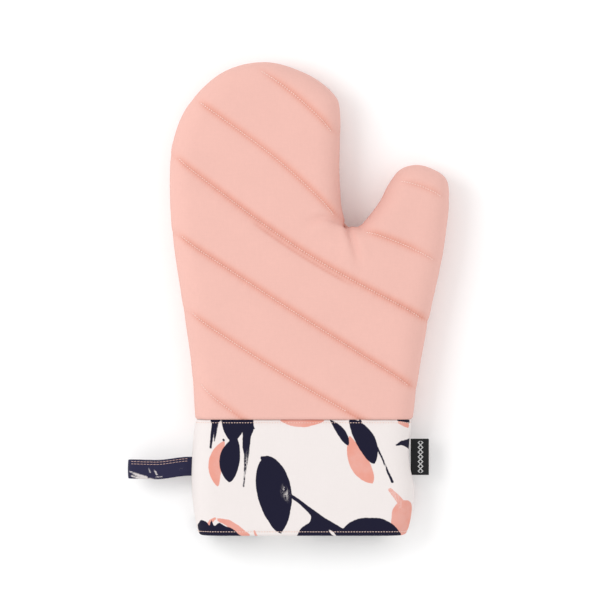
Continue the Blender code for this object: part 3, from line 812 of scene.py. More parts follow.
def cuff_stitches(name, front, at, sizes):
    """A row of stitches across one face of the cuff, at that drop, in the bottom of its groove."""
    drop = np.array([at])
    grid, outward = cuff_surface(front, drop, np.zeros(1))
    out = cuff_relief(grid, drop, front)
    lie = turned(grid + outward * (out + STITCH_PROUD * sizes.thread)[..., None], front)[0]
    up = outward[0] * (1, 1, 1 if front else -1)
    return stitches(name, lie, up, sizes.stitch_pitch, sizes.stitch_length, sizes.thread / 2)


def cuff_flat(drop, inset, front):
    """The cuff cloth's flat coordinates at each point of its grid: across from its middle, and down."""
    grid, _ = cuff_surface(front, drop, np.zeros(len(drop)))
    step = np.linalg.norm(np.diff(grid[:, :, ::2], axis=1), axis=2)
    across = np.hstack([np.zeros((len(drop), 1)), np.cumsum(step, axis=1)])
    middle = grid.shape[1] // 2
    across += grid[:, middle : middle + 1, 0] - across[:, middle : middle + 1]
    down = np.append(0, np.cumsum(np.hypot(np.diff(drop), np.diff(inset)))) + drop[0]
    return np.stack([across, np.repeat(-down[:, None], across.shape[1], axis=1)], axis=-1).reshape(-1, 2)


# ---------------------------------------------------------------- print


def leaf(at, base, tip, width, bend=0.0, belly=0.5, blunt=0.8):
    """A brushed leaf: how far inside it each point lies. Its half width is a sine along its own bent line."""
    base, tip = np.array(base, float) * MM, np.array(tip, float) * MM
    line = tip - base
    length = np.linalg.norm(line)
    line = line / length
    way = ((at - base) @ line) / length
    t = np.clip(way, 0, 1)
    off = (at - base) @ np.array([-line[1], line[0]]) - bend * MM * 4 * t * (1 - t)
    half = width / 2 * MM * np.sin(math.pi * t ** (math.log(0.5) / math.log(belly))) ** blunt
    past = np.maximum(way - 1, -way) * length
    return np.where(past > 0, -np.hypot(past, np.abs(off)), half - np.abs(off))


def stroke(at, points, widths):
    """A brush stroke: how far inside it each point lies. Its width changes evenly from point to point."""
    path = even_points(np.column_stack([np.array(points, float), np.array(widths, float)]) * MM, 24)
    off, along = along_path(at, path[:, :2])
    return np.interp(along, ways_along(path[:, :2]), path[:, 2]) / 2 - np.abs(off)


def mound(at, ridge):
    """A filled mass under a ridge line: how far under it each point lies."""
    ridge = np.array(ridge, float) * MM
    line = smooth_curve(ridge, 80)
    top = np.interp(at[:, 0], line[:, 0], line[:, 1])
    ends = np.minimum(at[:, 0] - line[0, 0], line[-1, 0] - at[:, 0])
    return np.minimum(0.8 * (top - at[:, 1]), ends)


def front_print(at):
    """The front's brushed leaves and hills: how far inside the navy and the coral ink each point lies, and
    how dry the brush was there."""
    navy = [
        stroke(at, [(-46.9, 1), (-48.1, -8.9), (-49.2, -17.7)], [2.4, 2.0, 1.3]),
        stroke(at, [(-44.5, 1), (-45.6, -6.5), (-46.9, -13.4)], [1.8, 1.5, 1.1]),
        stroke(at, [(-48.6, -0.8), (-43.6, -0.4)], [1.8, 2.0]),
        leaf(at, (-33.8, 10), (-35.4, -14), 15, 0, 0.45, 0.62),
        leaf(at, (-33.3, -11), (-37.3, -39.4), 12.8, -1.8, 0.52, 0.6),
        stroke(at, [(-41.1, -12.5), (-40.8, -13)], [1.3, 1.2]),
        stroke(
            at,
            [(-25.2, 1), (-25.2, -5.7), (-26.3, -10.5), (-26.7, -17)]
            + [(-26.5, -21.6), (-27, -28), (-27.6, -34), (-28.3, -42)],
            [5.7, 6.8, 5.4, 4.8, 3.4, 2.0, 1.2, 0.9],
        ),
        stroke(at, [(-24, -3.6), (-21.6, -5.6)], [1.8, 0.9]),
        leaf(at, (-13.9, -23), (-5.2, -71.4), 21.8, 0.8, 0.44, 0.62),
        stroke(at, [(-16.6, -24.2), (-12.6, -24.6), (-9.2, -26)], [2.6, 3.2, 3.0]),
        stroke(at, [(-7, -67), (-4.8, -71.6)], [3.4, 0.8]),
        stroke(
            at,
            [(0.6, -47.4), (7.2, -51.9), (13.6, -57.4), (20.7, -63.4), (33.4, -71)],
            [1.8, 2.3, 3.4, 5.0, 5.0],
        ),
        np.minimum(
            mound(
                at,
                [(5, -74), (7.4, -69), (10.4, -66.6), (13.4, -64.5), (14.8, -60)]
                + [(17, -60.2), (23, -63.8), (29.5, -68.1), (36, -74)],
            ),
            -leaf(at, (24.2, -66.2), (30.6, -76), 1.9),
        ),
        mound(
            at,
            [(32, -71.5), (37.4, -65.6), (43.8, -62.5), (51.7, -61.7)]
            + [(59.7, -62.7), (66, -66.2), (70.8, -70.6), (75, -74)],
        ),
        leaf(at, (25.4, 0.4), (37.7, -16.2), 5.4, 1.3, 0.62, 0.6),
        leaf(at, (38.6, 0.5), (54.1, -27.6), 12.2, 2.1, 0.52, 0.58),
        stroke(at, [(54.6, -15.2), (58.9, -24), (62.1, -32), (65.4, -39.2)], [1.3, 1.3, 1.4, 1.6]),
        stroke(at, [(45, -0.6), (45.6, -1.6)], [1.5, 1.2]),
        stroke(at, [(68, -16.2), (72, -14.8), (83, -15.5)], [1.0, 2.8, 7.0]),
        stroke(at, [(69.2, -0.3), (80, -1.4)], [1.2, 2.2]),
        mound(
            at,
            [(-62, -67), (-58.8, -65), (-56.4, -63.4), (-52.4, -64.3), (-50, -66.8), (-48.8, -63)]
            + [(-46.9, -67), (-43.7, -64.9), (-39.7, -67.1), (-34.9, -69), (-29, -75)],
        ),
    ]
    coral = [
        leaf(at, (-40.7, -13.5), (-44.7, -42), 8.8, -3.5, 0.5, 0.62),
        leaf(at, (38.2, -10), (52.8, -40), 12, -2.0, 0.58, 0.6),
        leaf(at, (-5.5, -0.6), (22.6, -0.6), 8.2, 0, 0.5, 0.8),
        stroke(at, [(70, -1.8), (74, -3), (78, -3.8)], [1.8, 3.2, 3.0]),
        stroke(at, [(63.8, -44), (67.6, -48.2), (73.2, -54.6)], [2.2, 3.6, 5.0]),
        stroke(at, [(74.4, -60), (73.9, -69)], [18.5, 19.5]),
        stroke(at, [(-51.4, -67.6), (-49.2, -64.2), (-46, -62.0)], [2.4, 2.6, 0.9]),
        stroke(at, [(-43.9, -63.2), (-38.4, -64.9), (-33.5, -68.3), (-26.5, -73.4)], [2.2, 4.2, 4.8, 4.4]),
        stroke(at, [(-21.6, -70), (-20, -75)], [0.9, 1.8]),
    ]
    dry = [
        leaf(at, (-25.6, -19), (-28.4, -44), 5),
        leaf(at, (-3.6, -41), (-0.4, -52), 5),
        0.45 * leaf(at, (62, -41), (72, -57), 7),
    ]
    return combine(navy, coral, dry)


def back_print(at):
    """The back's share of the same print, a freer repeat of the leaves and hills."""
    navy = [
        leaf(at, (64, -8), (52, -48), 15, 2, 0.5),
        stroke(at, [(52, 2), (50, -16), (46, -34)], [1.5, 1.4, 0.8]),
        leaf(at, (14, -2), (24, -32), 11, -2, 0.55),
        leaf(at, (-6, -20), (-18, -56), 18, 1.5, 0.5),
        stroke(at, [(-28, 0), (-31, -18), (-33, -36)], [6.4, 4.4, 0.8]),
        leaf(at, (-44, -4), (-50, -30), 9, -1.5, 0.55),
        mound(at, [(-72, -70), (-60, -64), (-48, -61), (-36, -64), (-24, -69), (-16, -76)]),
        mound(at, [(10, -76), (20, -70), (30, -66), (42, -66), (54, -70), (62, -76)]),
    ]
    coral = [
        leaf(at, (36, -14), (40, -44), 10, -3, 0.55),
        leaf(at, (2, -4), (0, -24), 7, 2, 0.5),
        leaf(at, (-40, -32), (-36, -54), 8, 2, 0.5),
        stroke(at, [(-8, -68), (2, -64), (10, -70)], [1.2, 3.2, 1.4]),
        leaf(at, (74, -40), (66, -66), 10, 2, 0.5),
    ]
    dry = [
        leaf(at, (-26, 4), (-34, -40), 12),
        leaf(at, (54, -20), (60, -50), 9),
        leaf(at, (-10, -30), (-16, -60), 8),
    ]
    return combine(navy, coral, dry)


def joined(shapes):
    """Shapes of one ink as one: how far inside the nearest of them each point lies, in mm and at most 5."""
    return np.clip(np.max(shapes, axis=0), -5 * MM, 5 * MM) / MM


def combine(navy, coral, dry):
    """The numbers that the printed cloth's material needs, by name."""
    return {"navy": joined(navy), "coral": joined(coral), "dry": ramp(np.max(dry, axis=0), -1 * MM, 3 * MM)}


def print_place(flat):
    """Cloth coordinates in the frame's own x and drop, which the print is laid out in."""
    return flat - (MIDDLE[0], 0)


# ---------------------------------------------------------------- loop and label

LOOP_REACH = 38.7 * MM  # hinge line to the fold
LOOP_WIDTH = 12 * MM
LOOP_THICK = 1.3 * MM  # of one layer
LOOP_ROOT = 1.2 * MM  # between the middles of its two layers at the seam
LOOP_SPREAD = 8.4 * MM  # the same where they are furthest apart
LOOP_BOW = 0.25 * MM  # how far each layer bulges between its edges
LOOP_ROWS = 4.9 * MM, 3.4 * MM  # its rows of stitching, from its middle line
ROOT_IN = 2.0 * MM  # how far a sewn end reaches back from its hinge line
LABEL_REACH = 9.6 * MM  # hinge line to the fold
LABEL_WIDTH = 23 * MM
LABEL_THICK = 0.5 * MM  # of one layer
LABEL_SPREAD = 1.1 * MM  # between the middles of its two layers
LABEL_RIB = 0.42 * MM  # from one woven rib to the next
LABEL_COLUMN = 6.2 * MM  # sewn end to the middle of its column of diamonds, along the strip


def folded_path(length, root, spread, points, opens=0.6):
    """A folded strip seen from its end: out along one layer, round the fold and back, as (out, up)."""
    out = np.linspace(-ROOT_IN, length - spread / 2, points)
    open_up = np.sin(0.5 * math.pi * np.clip(out / (opens * length), 0, 1)) ** 0.8
    layer = np.column_stack([out, (root + (spread - root) * open_up) / 2])
    turn = np.linspace(math.pi / 2, -math.pi / 2, 19)[1:-1]
    fold = np.column_stack([length - spread / 2 * (1 - np.cos(turn)), spread / 2 * np.sin(turn)])
    return even_points(np.vstack([layer, fold, layer[::-1] * (1, -1)]), 2 * points)


def section(width, thick, points=13, bow=0.0):
    """A strip's cross-section as a closed ring: two bowed faces joined by rounded edges, as (side, up)."""
    half = width / 2 - thick / 2
    flat = np.linspace(half, -half, points)
    crown = bow * (1 - (flat / half) ** 2)
    turn = np.linspace(math.pi / 2, 3 * math.pi / 2, 7)[1:-1]
    end = np.column_stack([-half + thick / 2 * np.cos(turn), thick / 2 * np.sin(turn)])
    top = np.column_stack([flat, thick / 2 + crown])
    under = np.column_stack([flat[::-1], -thick / 2 + crown])
    return np.vstack([top, end, under, end[::-1] * (-1, 1)])


def loop_sag(out):
    """How far the loop's middle line lies off straight, at a distance out from its hinge line."""
    return 0.5 * MM - 2.1 * MM * ramp(out, 0, 21 * MM) + 0.4 * MM * ramp(out, 21 * MM, LOOP_REACH)


def loop_print(way, side):
    """Where the ground shows through the loop's dark ink: how far inside the bare strokes each point lies."""
    at = np.column_stack([np.minimum(way, way.max() - way) - ROOT_IN, side])
    bare = [
        stroke(at, [(38, -1.2), (33, -3.4), (27.5, -5.2)], [0.6, 1.7, 2.2]),
        stroke(at, [(36.5, -4.4), (30.5, -5.8), (23.5, -6)], [1.0, 1.8, 1.4]),
        stroke(at, [(25.8, 1.0), (24.9, -1.8)], [0.5, 0.9]),
        stroke(at, [(22.2, -0.4), (20.9, -2.8)], [0.8, 1.1]),
        stroke(at, [(21.4, -4.8), (17.6, -4.6)], [0.9, 0.6]),
        stroke(at, [(6.5, -1.4), (4.6, -1.1)], [0.5, 0.3]),
    ]
    return joined(bare)


def strip(name, pivot, path, ring, side, sag=None):
    """A ring carried along a folded path beside a pivot, out towards side, and closed at both ends, with its
    flat coordinates. sag gives how far it is shifted sideways, by its distance out."""
    run = np.gradient(path, axis=0)
    run /= np.linalg.norm(run, axis=1)[:, None]
    up = np.stack([-run[:, 1], run[:, 0]], axis=1)
    line = path[:, None] + ring[None, :, 1:] * up[:, None]
    across = np.broadcast_to(ring[:, 0], line.shape[:2]) + (sag(line[..., 0]) if sag else 0)
    points = np.dstack([side * line[..., 0], across, line[..., 1]])
    points = points.reshape(-1, 3) + np.array(pivot)
    corners, starts = grid_corners(len(path), len(ring), wrap=True)
    if side < 0:
        corners = reverse_faces(corners, starts)
    count = len(ring)
    caps = np.concatenate([np.arange(count), len(points) - 1 - np.arange(count)])
    if side > 0:
        caps = np.concatenate([np.arange(count)[::-1], len(points) - count + np.arange(count)])
    every = np.concatenate([corners, caps])
    first = np.concatenate([starts, len(corners) + np.array([0, count])])
    mesh = new_mesh(name, points, every, first)
    work = bmesh.new()
    work.from_mesh(mesh)
    bmesh.ops.recalc_face_normals(work, faces=work.faces)
    work.to_mesh(mesh)
    work.free()
    flat = np.stack(np.broadcast_arrays(ways_along(path)[:, None], ring[None, :, 0]), axis=-1).reshape(-1, 2)
    give_uv(mesh, flat)
    return add_piece(name, mesh), flat


def loop_stitches(name, layer, side, sizes):
    """A row of stitches along the loop's upper layer, at a distance to the side of its middle line."""
    bulge = LOOP_BOW * (1 - (side / (LOOP_WIDTH / 2)) ** 2)
    rise = layer[:, 1] + LOOP_THICK / 2 + bulge + 0.1 * sizes.thread
    line = np.column_stack([-layer[:, 0], side + loop_sag(layer[:, 0]), rise])
    up = np.cross(np.gradient(line, axis=0), (0.0, 1.0, 0.0))
    up *= np.sign(up[:, 2:]) / np.linalg.norm(up, axis=1)[:, None]
    start = line + np.array(LOOP_PIVOT) + MIDDLE
    return stitches(name, start, up, 1.2 * sizes.stitch_pitch, 1.4 * sizes.stitch_length, sizes.thread / 3)


# ---------------------------------------------------------------- materials


class Nodes:
    """Adds nodes to a tree; a value may be a number, a colour or another node's output."""

    def __init__(self, tree):
        self.tree = tree

    def add(self, kind, values=(), output=0, **settings):
        """A new node with those inputs and settings; gives one of its outputs, or all of them for None."""
        node = self.tree.nodes.new(kind)
        for key, value in settings.items():
            setattr(node, key, value)
        pairs = values.items() if isinstance(values, dict) else enumerate(values)
        for key, value in pairs:
            if isinstance(value, bpy.types.NodeSocket):
                self.tree.links.new(value, node.inputs[key])
            else:
                node.inputs[key].default_value = value
        return node.outputs if output is None else node.outputs[output]

    def math(self, operation, *values):
        return self.add("ShaderNodeMath", values, operation=operation)

    def plus(self, first, second):
        return self.math("ADD", first, second)

    def minus(self, first, second):
        return self.math("SUBTRACT", first, second)

    def times(self, first, second):
        return self.math("MULTIPLY", first, second)

    def mix(self, share, first, second, blend="MIX"):
        values = {0: share, 6: first, 7: second}
        return self.add("ShaderNodeMix", values, 2, data_type="RGBA", blend_type=blend, clamp_factor=True)

    def noise(self, vector, scale, detail=3.0, rough=0.5, output=0):
        values = {"Vector": vector, "Scale": scale, "Detail": detail, "Roughness": rough}
        return self.add("ShaderNodeTexNoise", values, output)

    def coordinates(self, output):
        """Texture coordinates: output 2 is the cloth's flat ones, output 3 the object's."""
        return self.add("ShaderNodeTexCoord", output=output)

    def value(self, name):
        """One of the numbers stored on the mesh's points."""
        return self.add("ShaderNodeAttribute", output=2, attribute_name=name)

    def scaled(self, vector, scale, turn=0.0):
        return self.add("ShaderNodeMapping", {"Vector": vector, "Rotation": (0, 0, turn), "Scale": scale})

    def parts(self, vector):
        """The vector's x, y and z."""
        return self.add("ShaderNodeSeparateXYZ", (vector,), None)

    def step(self, value, start, end):
        """A smooth step, from 0 at start to 1 at end."""
        values = {"Value": value, "From Min": start, "From Max": end}
        return self.add("ShaderNodeMapRange", values, interpolation_type="SMOOTHSTEP")

    def group(self, name, values, output=0):
        return self.add("ShaderNodeGroup", values, output, node_tree=GROUPS[name])


GROUPS = {}


def new_group(name, inputs, outputs):
    """An empty shader group with those sockets: its nodes, its inputs and a function that links an output."""
    tree = bpy.data.node_groups.new(name, "ShaderNodeTree")
    for label, kind, value in inputs:
        socket = tree.interface.new_socket(label, in_out="INPUT", socket_type=kind)
        if value is not None:
            socket.default_value = value
    for label, kind in outputs:
        tree.interface.new_socket(label, in_out="OUTPUT", socket_type=kind)
    GROUPS[name] = tree
    ins = tree.nodes.new("NodeGroupInput").outputs
    outs = tree.nodes.new("NodeGroupOutput").inputs
    return Nodes(tree), ins, lambda label, value: tree.links.new(value, outs[label])


def weave_group():
    """Plain weave: threads over and under each other, a product of two sine waves, with uneven yarn."""
    nodes, ins, put = new_group(
        "Cotton weave",
        [
            ("Vector", "NodeSocketVector", None),
            ("Threads", "NodeSocketFloat", 2000.0),
            ("Uneven", "NodeSocketFloat", 0.5),
        ],
        [("Height", "NodeSocketFloat"), ("Yarn", "NodeSocketFloat")],
    )
    scaled = nodes.add("ShaderNodeVectorMath", {0: ins["Vector"], "Scale": ins["Threads"]}, operation="SCALE")
    bent = nodes.noise(ins["Vector"], 160.0, 2.0, output=1)
    bent = nodes.add("ShaderNodeVectorMath", {0: bent, "Scale": 0.9}, operation="SCALE")
    parts = nodes.parts(nodes.add("ShaderNodeVectorMath", (scaled, bent), operation="ADD"))
    over = nodes.math("SINE", nodes.times(parts[0], 2 * math.pi))
    under = nodes.math("SINE", nodes.times(parts[1], 2 * math.pi))
    product = nodes.times(over, under)
    slub = nodes.add("ShaderNodeVectorMath", (ins["Vector"], (1.0, 9.0, 1.0)), operation="MULTIPLY")
    cross = nodes.add("ShaderNodeVectorMath", (ins["Vector"], (9.0, 1.0, 1.0)), operation="MULTIPLY")
    yarn = nodes.plus(nodes.noise(slub, 150.0, 2.0), nodes.noise(cross, 150.0, 2.0))
    yarn = nodes.math("MULTIPLY_ADD", yarn, 0.5, 0.0)
    uneven = nodes.times(nodes.minus(yarn, 0.5), ins["Uneven"])
    put("Height", nodes.plus(nodes.times(product, 0.25), uneven))
    put("Yarn", yarn)


def mottle_group():
    """Soft uneven patches: a large noise and a small one, from 0 to 1."""
    nodes, ins, put = new_group(
        "Soft mottling",
        [
            ("Vector", "NodeSocketVector", None),
            ("Large", "NodeSocketFloat", 28.0),
            ("Small", "NodeSocketFloat", 420.0),
        ],
        [("Value", "NodeSocketFloat")],
    )
    large = nodes.noise(ins["Vector"], ins["Large"], 3.0)
    small = nodes.noise(ins["Vector"], ins["Small"], 4.0, 0.6)
    put("Value", nodes.plus(nodes.times(large, 0.6), nodes.times(small, 0.4)))


def pucker_group():
    """Cloth pulled in by a row of stitches: a sharp groove along it, with a short crease at every stitch, and
    masks for painted shade in that groove and in those creases.
    """
    nodes, ins, put = new_group(
        "Stitch pucker",
        [
            ("Off", "NodeSocketFloat", 0.0),
            ("Along", "NodeSocketFloat", 0.0),
            ("Pitch", "NodeSocketFloat", 0.0023),
            ("Reach", "NodeSocketFloat", 0.003),
        ],
        [("Height", "NodeSocketFloat"), ("Valley", "NodeSocketFloat"), ("Dash", "NodeSocketFloat")],
    )
    away = nodes.math("ABSOLUTE", ins["Off"])
    share = nodes.math("DIVIDE", away, ins["Reach"])
    near = nodes.math("EXPONENT", nodes.times(share, -1.0))
    core = nodes.math("EXPONENT", nodes.times(share, -5.0))
    turn = nodes.math("DIVIDE", nodes.times(ins["Along"], 2 * math.pi), ins["Pitch"])
    slant = nodes.times(ins["Off"], 900.0)
    wave = nodes.math("SINE", nodes.plus(turn, slant))
    creases = nodes.times(nodes.times(wave, near), 0.22)
    close = nodes.math("EXPONENT", nodes.times(nodes.times(share, share), -2.2))
    put("Height", nodes.minus(creases, core))
    # Masks for painted shade: the groove's sharp middle, and the troughs of the creases near the row.
    put("Valley", core)
    put("Dash", nodes.times(nodes.step(wave, -0.1, -0.9), close))


def print_group():
    """Brushed ink: two inks whose edges are roughened by noise, with dry streaks where the brush ran out."""
    nodes, ins, put = new_group(
        "Brush print",
        [
            ("Vector", "NodeSocketVector", None),
            ("Navy", "NodeSocketFloat", -1.0),
            ("Coral", "NodeSocketFloat", -1.0),
            ("Dry", "NodeSocketFloat", 0.0),
            ("Ground", "NodeSocketColor", (1.0, 1.0, 1.0, 1.0)),
            ("Navy ink", "NodeSocketColor", (0.0, 0.0, 0.0, 1.0)),
            ("Coral ink", "NodeSocketColor", (1.0, 0.5, 0.4, 1.0)),
        ],
        [("Colour", "NodeSocketColor"), ("Ink", "NodeSocketFloat")],
    )
    rough = nodes.times(nodes.minus(nodes.noise(ins["Vector"], 700.0, 4.0, 0.65), 0.5), 0.6)
    wander = nodes.times(nodes.minus(nodes.noise(ins["Vector"], 130.0, 2.0), 0.5), 0.8)
    rough = nodes.plus(rough, wander)
    streaked = nodes.scaled(ins["Vector"], (5.0, 0.35, 1.0), 0.12)
    streaks = nodes.step(nodes.noise(streaked, 420.0, 3.0, 0.7), 0.50, 0.60)
    specks = nodes.step(nodes.noise(ins["Vector"], 900.0, 3.0, 0.7), 0.52, 0.66)
    worn = nodes.times(nodes.math("MAXIMUM", streaks, specks), ins["Dry"])
    inks = []
    for name in ("Navy", "Coral"):
        edge = nodes.plus(ins[name], rough)
        inks.append(nodes.times(nodes.step(edge, -0.22, 0.22), nodes.minus(1.0, worn)))
    blot = nodes.step(nodes.noise(ins["Vector"], 60.0, 4.0, 0.6), 0.35, 0.7)
    pale = nodes.mix(nodes.times(blot, 0.16), ins["Coral ink"], ins["Ground"])
    coloured = nodes.mix(inks[1], ins["Ground"], pale)
    put("Colour", nodes.mix(inks[0], coloured, ins["Navy ink"]))
    put("Ink", nodes.math("MAXIMUM", inks[0], inks[1]))


def new_material(name, roughness, sheen=0.0, specular=0.3):
    """A material's nodes and its Principled shader, with the values that are the same all over."""
    material = bpy.data.materials.new(name)
    material.use_nodes = True
    shader = material.node_tree.nodes["Principled BSDF"]
    shader.inputs["Roughness"].default_value = roughness
    shader.inputs["Specular IOR Level"].default_value = specular
    shader.inputs["Sheen Weight"].default_value = sheen
    shader.inputs["Sheen Roughness"].default_value = 0.5
    return material, Nodes(material.node_tree), shader


def link_surface(nodes, shader, colour, height, distance, roughness=None):
    """Links a colour, a bump of that depth and, where it varies, a roughness to the shader."""
    nodes.tree.links.new(colour, shader.inputs["Base Color"])
    bump = nodes.add("ShaderNodeBump", {"Height": height, "Distance": distance, "Strength": 1.0})
    nodes.tree.links.new(bump, shader.inputs["Normal"])
    if roughness is not None:
        nodes.tree.links.new(roughness, shader.inputs["Roughness"])


def tint(colour, *amounts):
    """The colour, lighter or darker by one amount for all its channels, or by one for each."""
    amounts = amounts if len(amounts) == 3 else amounts * 3
    return (*(min(1.0, channel * amount) for channel, amount in zip(colour, amounts)), 1.0)


def woven(nodes, sizes, uneven=0.8):
    """The cloth's flat coordinates and its weave."""
    cloth = nodes.coordinates(2)
    values = {"Vector": cloth, "Threads": 1 / sizes.weave_pitch, "Uneven": uneven}
    return cloth, nodes.group("Cotton weave", values, None)


def quilted_material(name, colour, sizes):
    """Pale cotton, quilted: plain weave, soft patches and puckers, with painted shade in the grooves along
    its rows, on their upper banks and along the side seam.
    """
    material, nodes, shader = new_material(name, 0.85, 0.06, 0.2)
    cloth, weave = woven(nodes, sizes, 0.9)
    mottle = nodes.group("Soft mottling", {"Vector": cloth})
    off = nodes.value("row_off")
    row = {"Off": off, "Along": nodes.value("row_along"), "Pitch": PUCKER_PITCH}
    pucker = nodes.group("Stitch pucker", row, None)
    second = nodes.value("second")
    strength = nodes.times(nodes.value("row_depth"), 230.0)
    height = nodes.times(pucker["Height"], strength)
    height = nodes.minus(height, nodes.times(second, 0.2))
    height = nodes.plus(height, nodes.times(weave["Height"], 0.16))
    shade = nodes.mix(mottle, tint(colour, 0.95), tint(colour, 1.11))
    shade = nodes.mix(nodes.times(weave["Yarn"], 0.55), shade, tint(colour, 0.86))
    # Painted shade colours: deep for the grooves and the side seam, the lighter one for each row's upper
    # bank.
    deep = tint(colour, 0.84, 0.58, 0.50)
    bank_shade_colour = tint(colour, 0.93, 0.76, 0.69)
    # Painted shade on the upper bank just above each row, where the cloth bulges over the groove.
    bank_shade_mask = nodes.math("DIVIDE", nodes.minus(off, 0.6 * MM), 2.7 * MM)
    bank_shade_mask = nodes.math("EXPONENT", nodes.times(nodes.times(bank_shade_mask, bank_shade_mask), -1.0))
    # Painted shade in each groove's sharp middle, in the second fold below the third row and in the pucker
    # creases beside the stitches.
    crease_shade_mask = nodes.times(nodes.math("MAXIMUM", pucker["Valley"], second), 0.60)
    crease_shade_mask = nodes.plus(crease_shade_mask, nodes.times(pucker["Dash"], 0.38))
    fade = nodes.step(nodes.value("row_depth"), 0.05 * MM, 1.1 * MM)
    shade = nodes.mix(nodes.times(nodes.times(bank_shade_mask, 0.75), fade), shade, bank_shade_colour)
    shade = nodes.mix(nodes.times(crease_shade_mask, fade), shade, deep)
    # Painted shade along the side seam, where the two halves meet.
    seam = nodes.step(nodes.value("edge"), 0.9 * MM, 0.0)
    shade = nodes.mix(nodes.times(seam, 0.35), shade, deep)
    link_surface(nodes, shader, shade, height, 0.6 * MM)
    return material


def cotton_material(name, colour, sizes):
    """Plain cotton with weave and soft patches."""
    material, nodes, shader = new_material(name, 0.86, 0.1, 0.25)
    cloth, weave = woven(nodes, sizes)
    mottle = nodes.group("Soft mottling", {"Vector": cloth})
    shade = nodes.mix(mottle, tint(colour, 0.95), tint(colour, 1.02))
    shade = nodes.mix(nodes.times(weave["Yarn"], 0.2), shade, tint(colour, 0.9))
    link_surface(nodes, shader, shade, weave["Height"], 0.12 * MM)
    return material


def printed_material(name, colours, sizes):
    """Off-white cotton with a brushed print in two inks."""
    material, nodes, shader = new_material(name, 0.84, 0.0, 0.15)
    cloth, weave = woven(nodes, sizes)
    mottle = nodes.group("Soft mottling", {"Vector": cloth})
    ground = nodes.mix(mottle, tint(colours.cuff, 0.97), tint(colours.cuff, 1.01))
    ink = nodes.group(
        "Brush print",
        {
            "Vector": cloth,
            "Navy": nodes.value("navy"),
            "Coral": nodes.value("coral"),
            "Dry": nodes.value("dry"),
            "Ground": ground,
            "Navy ink": tint(colours.navy, 1),
            "Coral ink": tint(colours.coral, 1),
        },
        None,
    )
    yarn = nodes.times(weave["Yarn"], 0.10)
    shade = nodes.mix(yarn, ink["Colour"], tint(colours.cuff, 0.82), "MULTIPLY")
    rough = nodes.math("MULTIPLY_ADD", ink["Ink"], -0.08, 0.86)
    link_surface(nodes, shader, shade, weave["Height"], 0.12 * MM, rough)
    return material


def wadding_material(name, colour):
    """Needled polyester wadding: tangled fibres from stretched noise."""
    material, nodes, shader = new_material(name, 0.95, 0.2, 0.1)
    fibres = nodes.noise(nodes.scaled(nodes.coordinates(3), (1.0, 6.0, 2.0)), 300.0, 5.0, 0.7)
    shade = nodes.mix(fibres, tint(colour, 0.85), tint(colour, 1.0))
    link_surface(nodes, shader, shade, fibres, 0.5 * MM)
    return material


def thread_material(name, colour, pitch):
    """Twisted polyester thread: slanting plies across each stitch, with painted shade in the grooves between
    them.
    """
    material, nodes, shader = new_material(name, 0.45, 0.1, 0.4)
    slanting = nodes.scaled(nodes.coordinates(3), (1.0, 1.0, 1.0), 0.9)
    plies = nodes.add("ShaderNodeTexWave", {"Vector": slanting, "Scale": 1 / pitch / 6, "Distortion": 0.6}, 1)
    # Painted shade: darker where the plies' bump is low, between the plies.
    shade = nodes.mix(plies, tint(colour, 0.82), tint(colour, 1.05))
    link_surface(nodes, shader, shade, plies, 0.08 * MM)
    return material


def loop_material(name, colours, sizes):
    """Navy brushed cotton: the print's darkest part, with pale patches where the ground shows."""
    material, nodes, shader = new_material(name, 0.82, 0.03, 0.15)
    cloth, weave = woven(nodes, sizes)
    streaks = nodes.noise(nodes.scaled(cloth, (1.0, 3.2, 1.0), 0.5), 520.0, 4.0, 0.65)
    rough = nodes.times(nodes.minus(streaks, 0.5), 2.4)
    brushed = nodes.step(nodes.plus(nodes.value("bare"), rough), -0.25, 0.45)
    shade = nodes.mix(brushed, tint(colours.loop, 1), tint(colours.cuff, 0.9))
    shade = nodes.mix(nodes.times(weave["Yarn"], 0.3), shade, tint(colours.loop, 2.2))
    link_surface(nodes, shader, shade, weave["Height"], 0.14 * MM)
    return material


def label_material(name, colours):
    """Woven label: satin ribs, and a column of chevrons and diamonds in pale yarn down its length."""
    material, nodes, shader = new_material(name, 0.6, 0.0, 0.15)
    out, along, _ = nodes.parts(nodes.coordinates(2))
    ribs = nodes.math("SINE", nodes.times(along, 2 * math.pi / LABEL_RIB))
    off = nodes.math("ABSOLUTE", nodes.minus(out, LABEL_COLUMN))
    beat = nodes.math("PINGPONG", along, 1.5 * MM)
    ring = nodes.math("ABSOLUTE", nodes.minus(nodes.plus(off, beat), 1.45 * MM))
    line = nodes.step(ring, 0.52 * MM, 0.34 * MM)
    inside = nodes.step(nodes.math("ABSOLUTE", along), 10.2 * MM, 9.8 * MM)
    pattern = nodes.times(line, inside)
    shade = nodes.mix(pattern, tint(colours.label, 1), tint(colours.label_yarn, 1))
    shade = nodes.mix(nodes.math("MULTIPLY_ADD", ribs, 0.10, 0.10), shade, (0.035, 0.035, 0.037, 1))
    height = nodes.plus(nodes.times(ribs, 0.5), pattern)
    link_surface(nodes, shader, shade, height, 0.08 * MM)
    return material


MATERIALS = {}


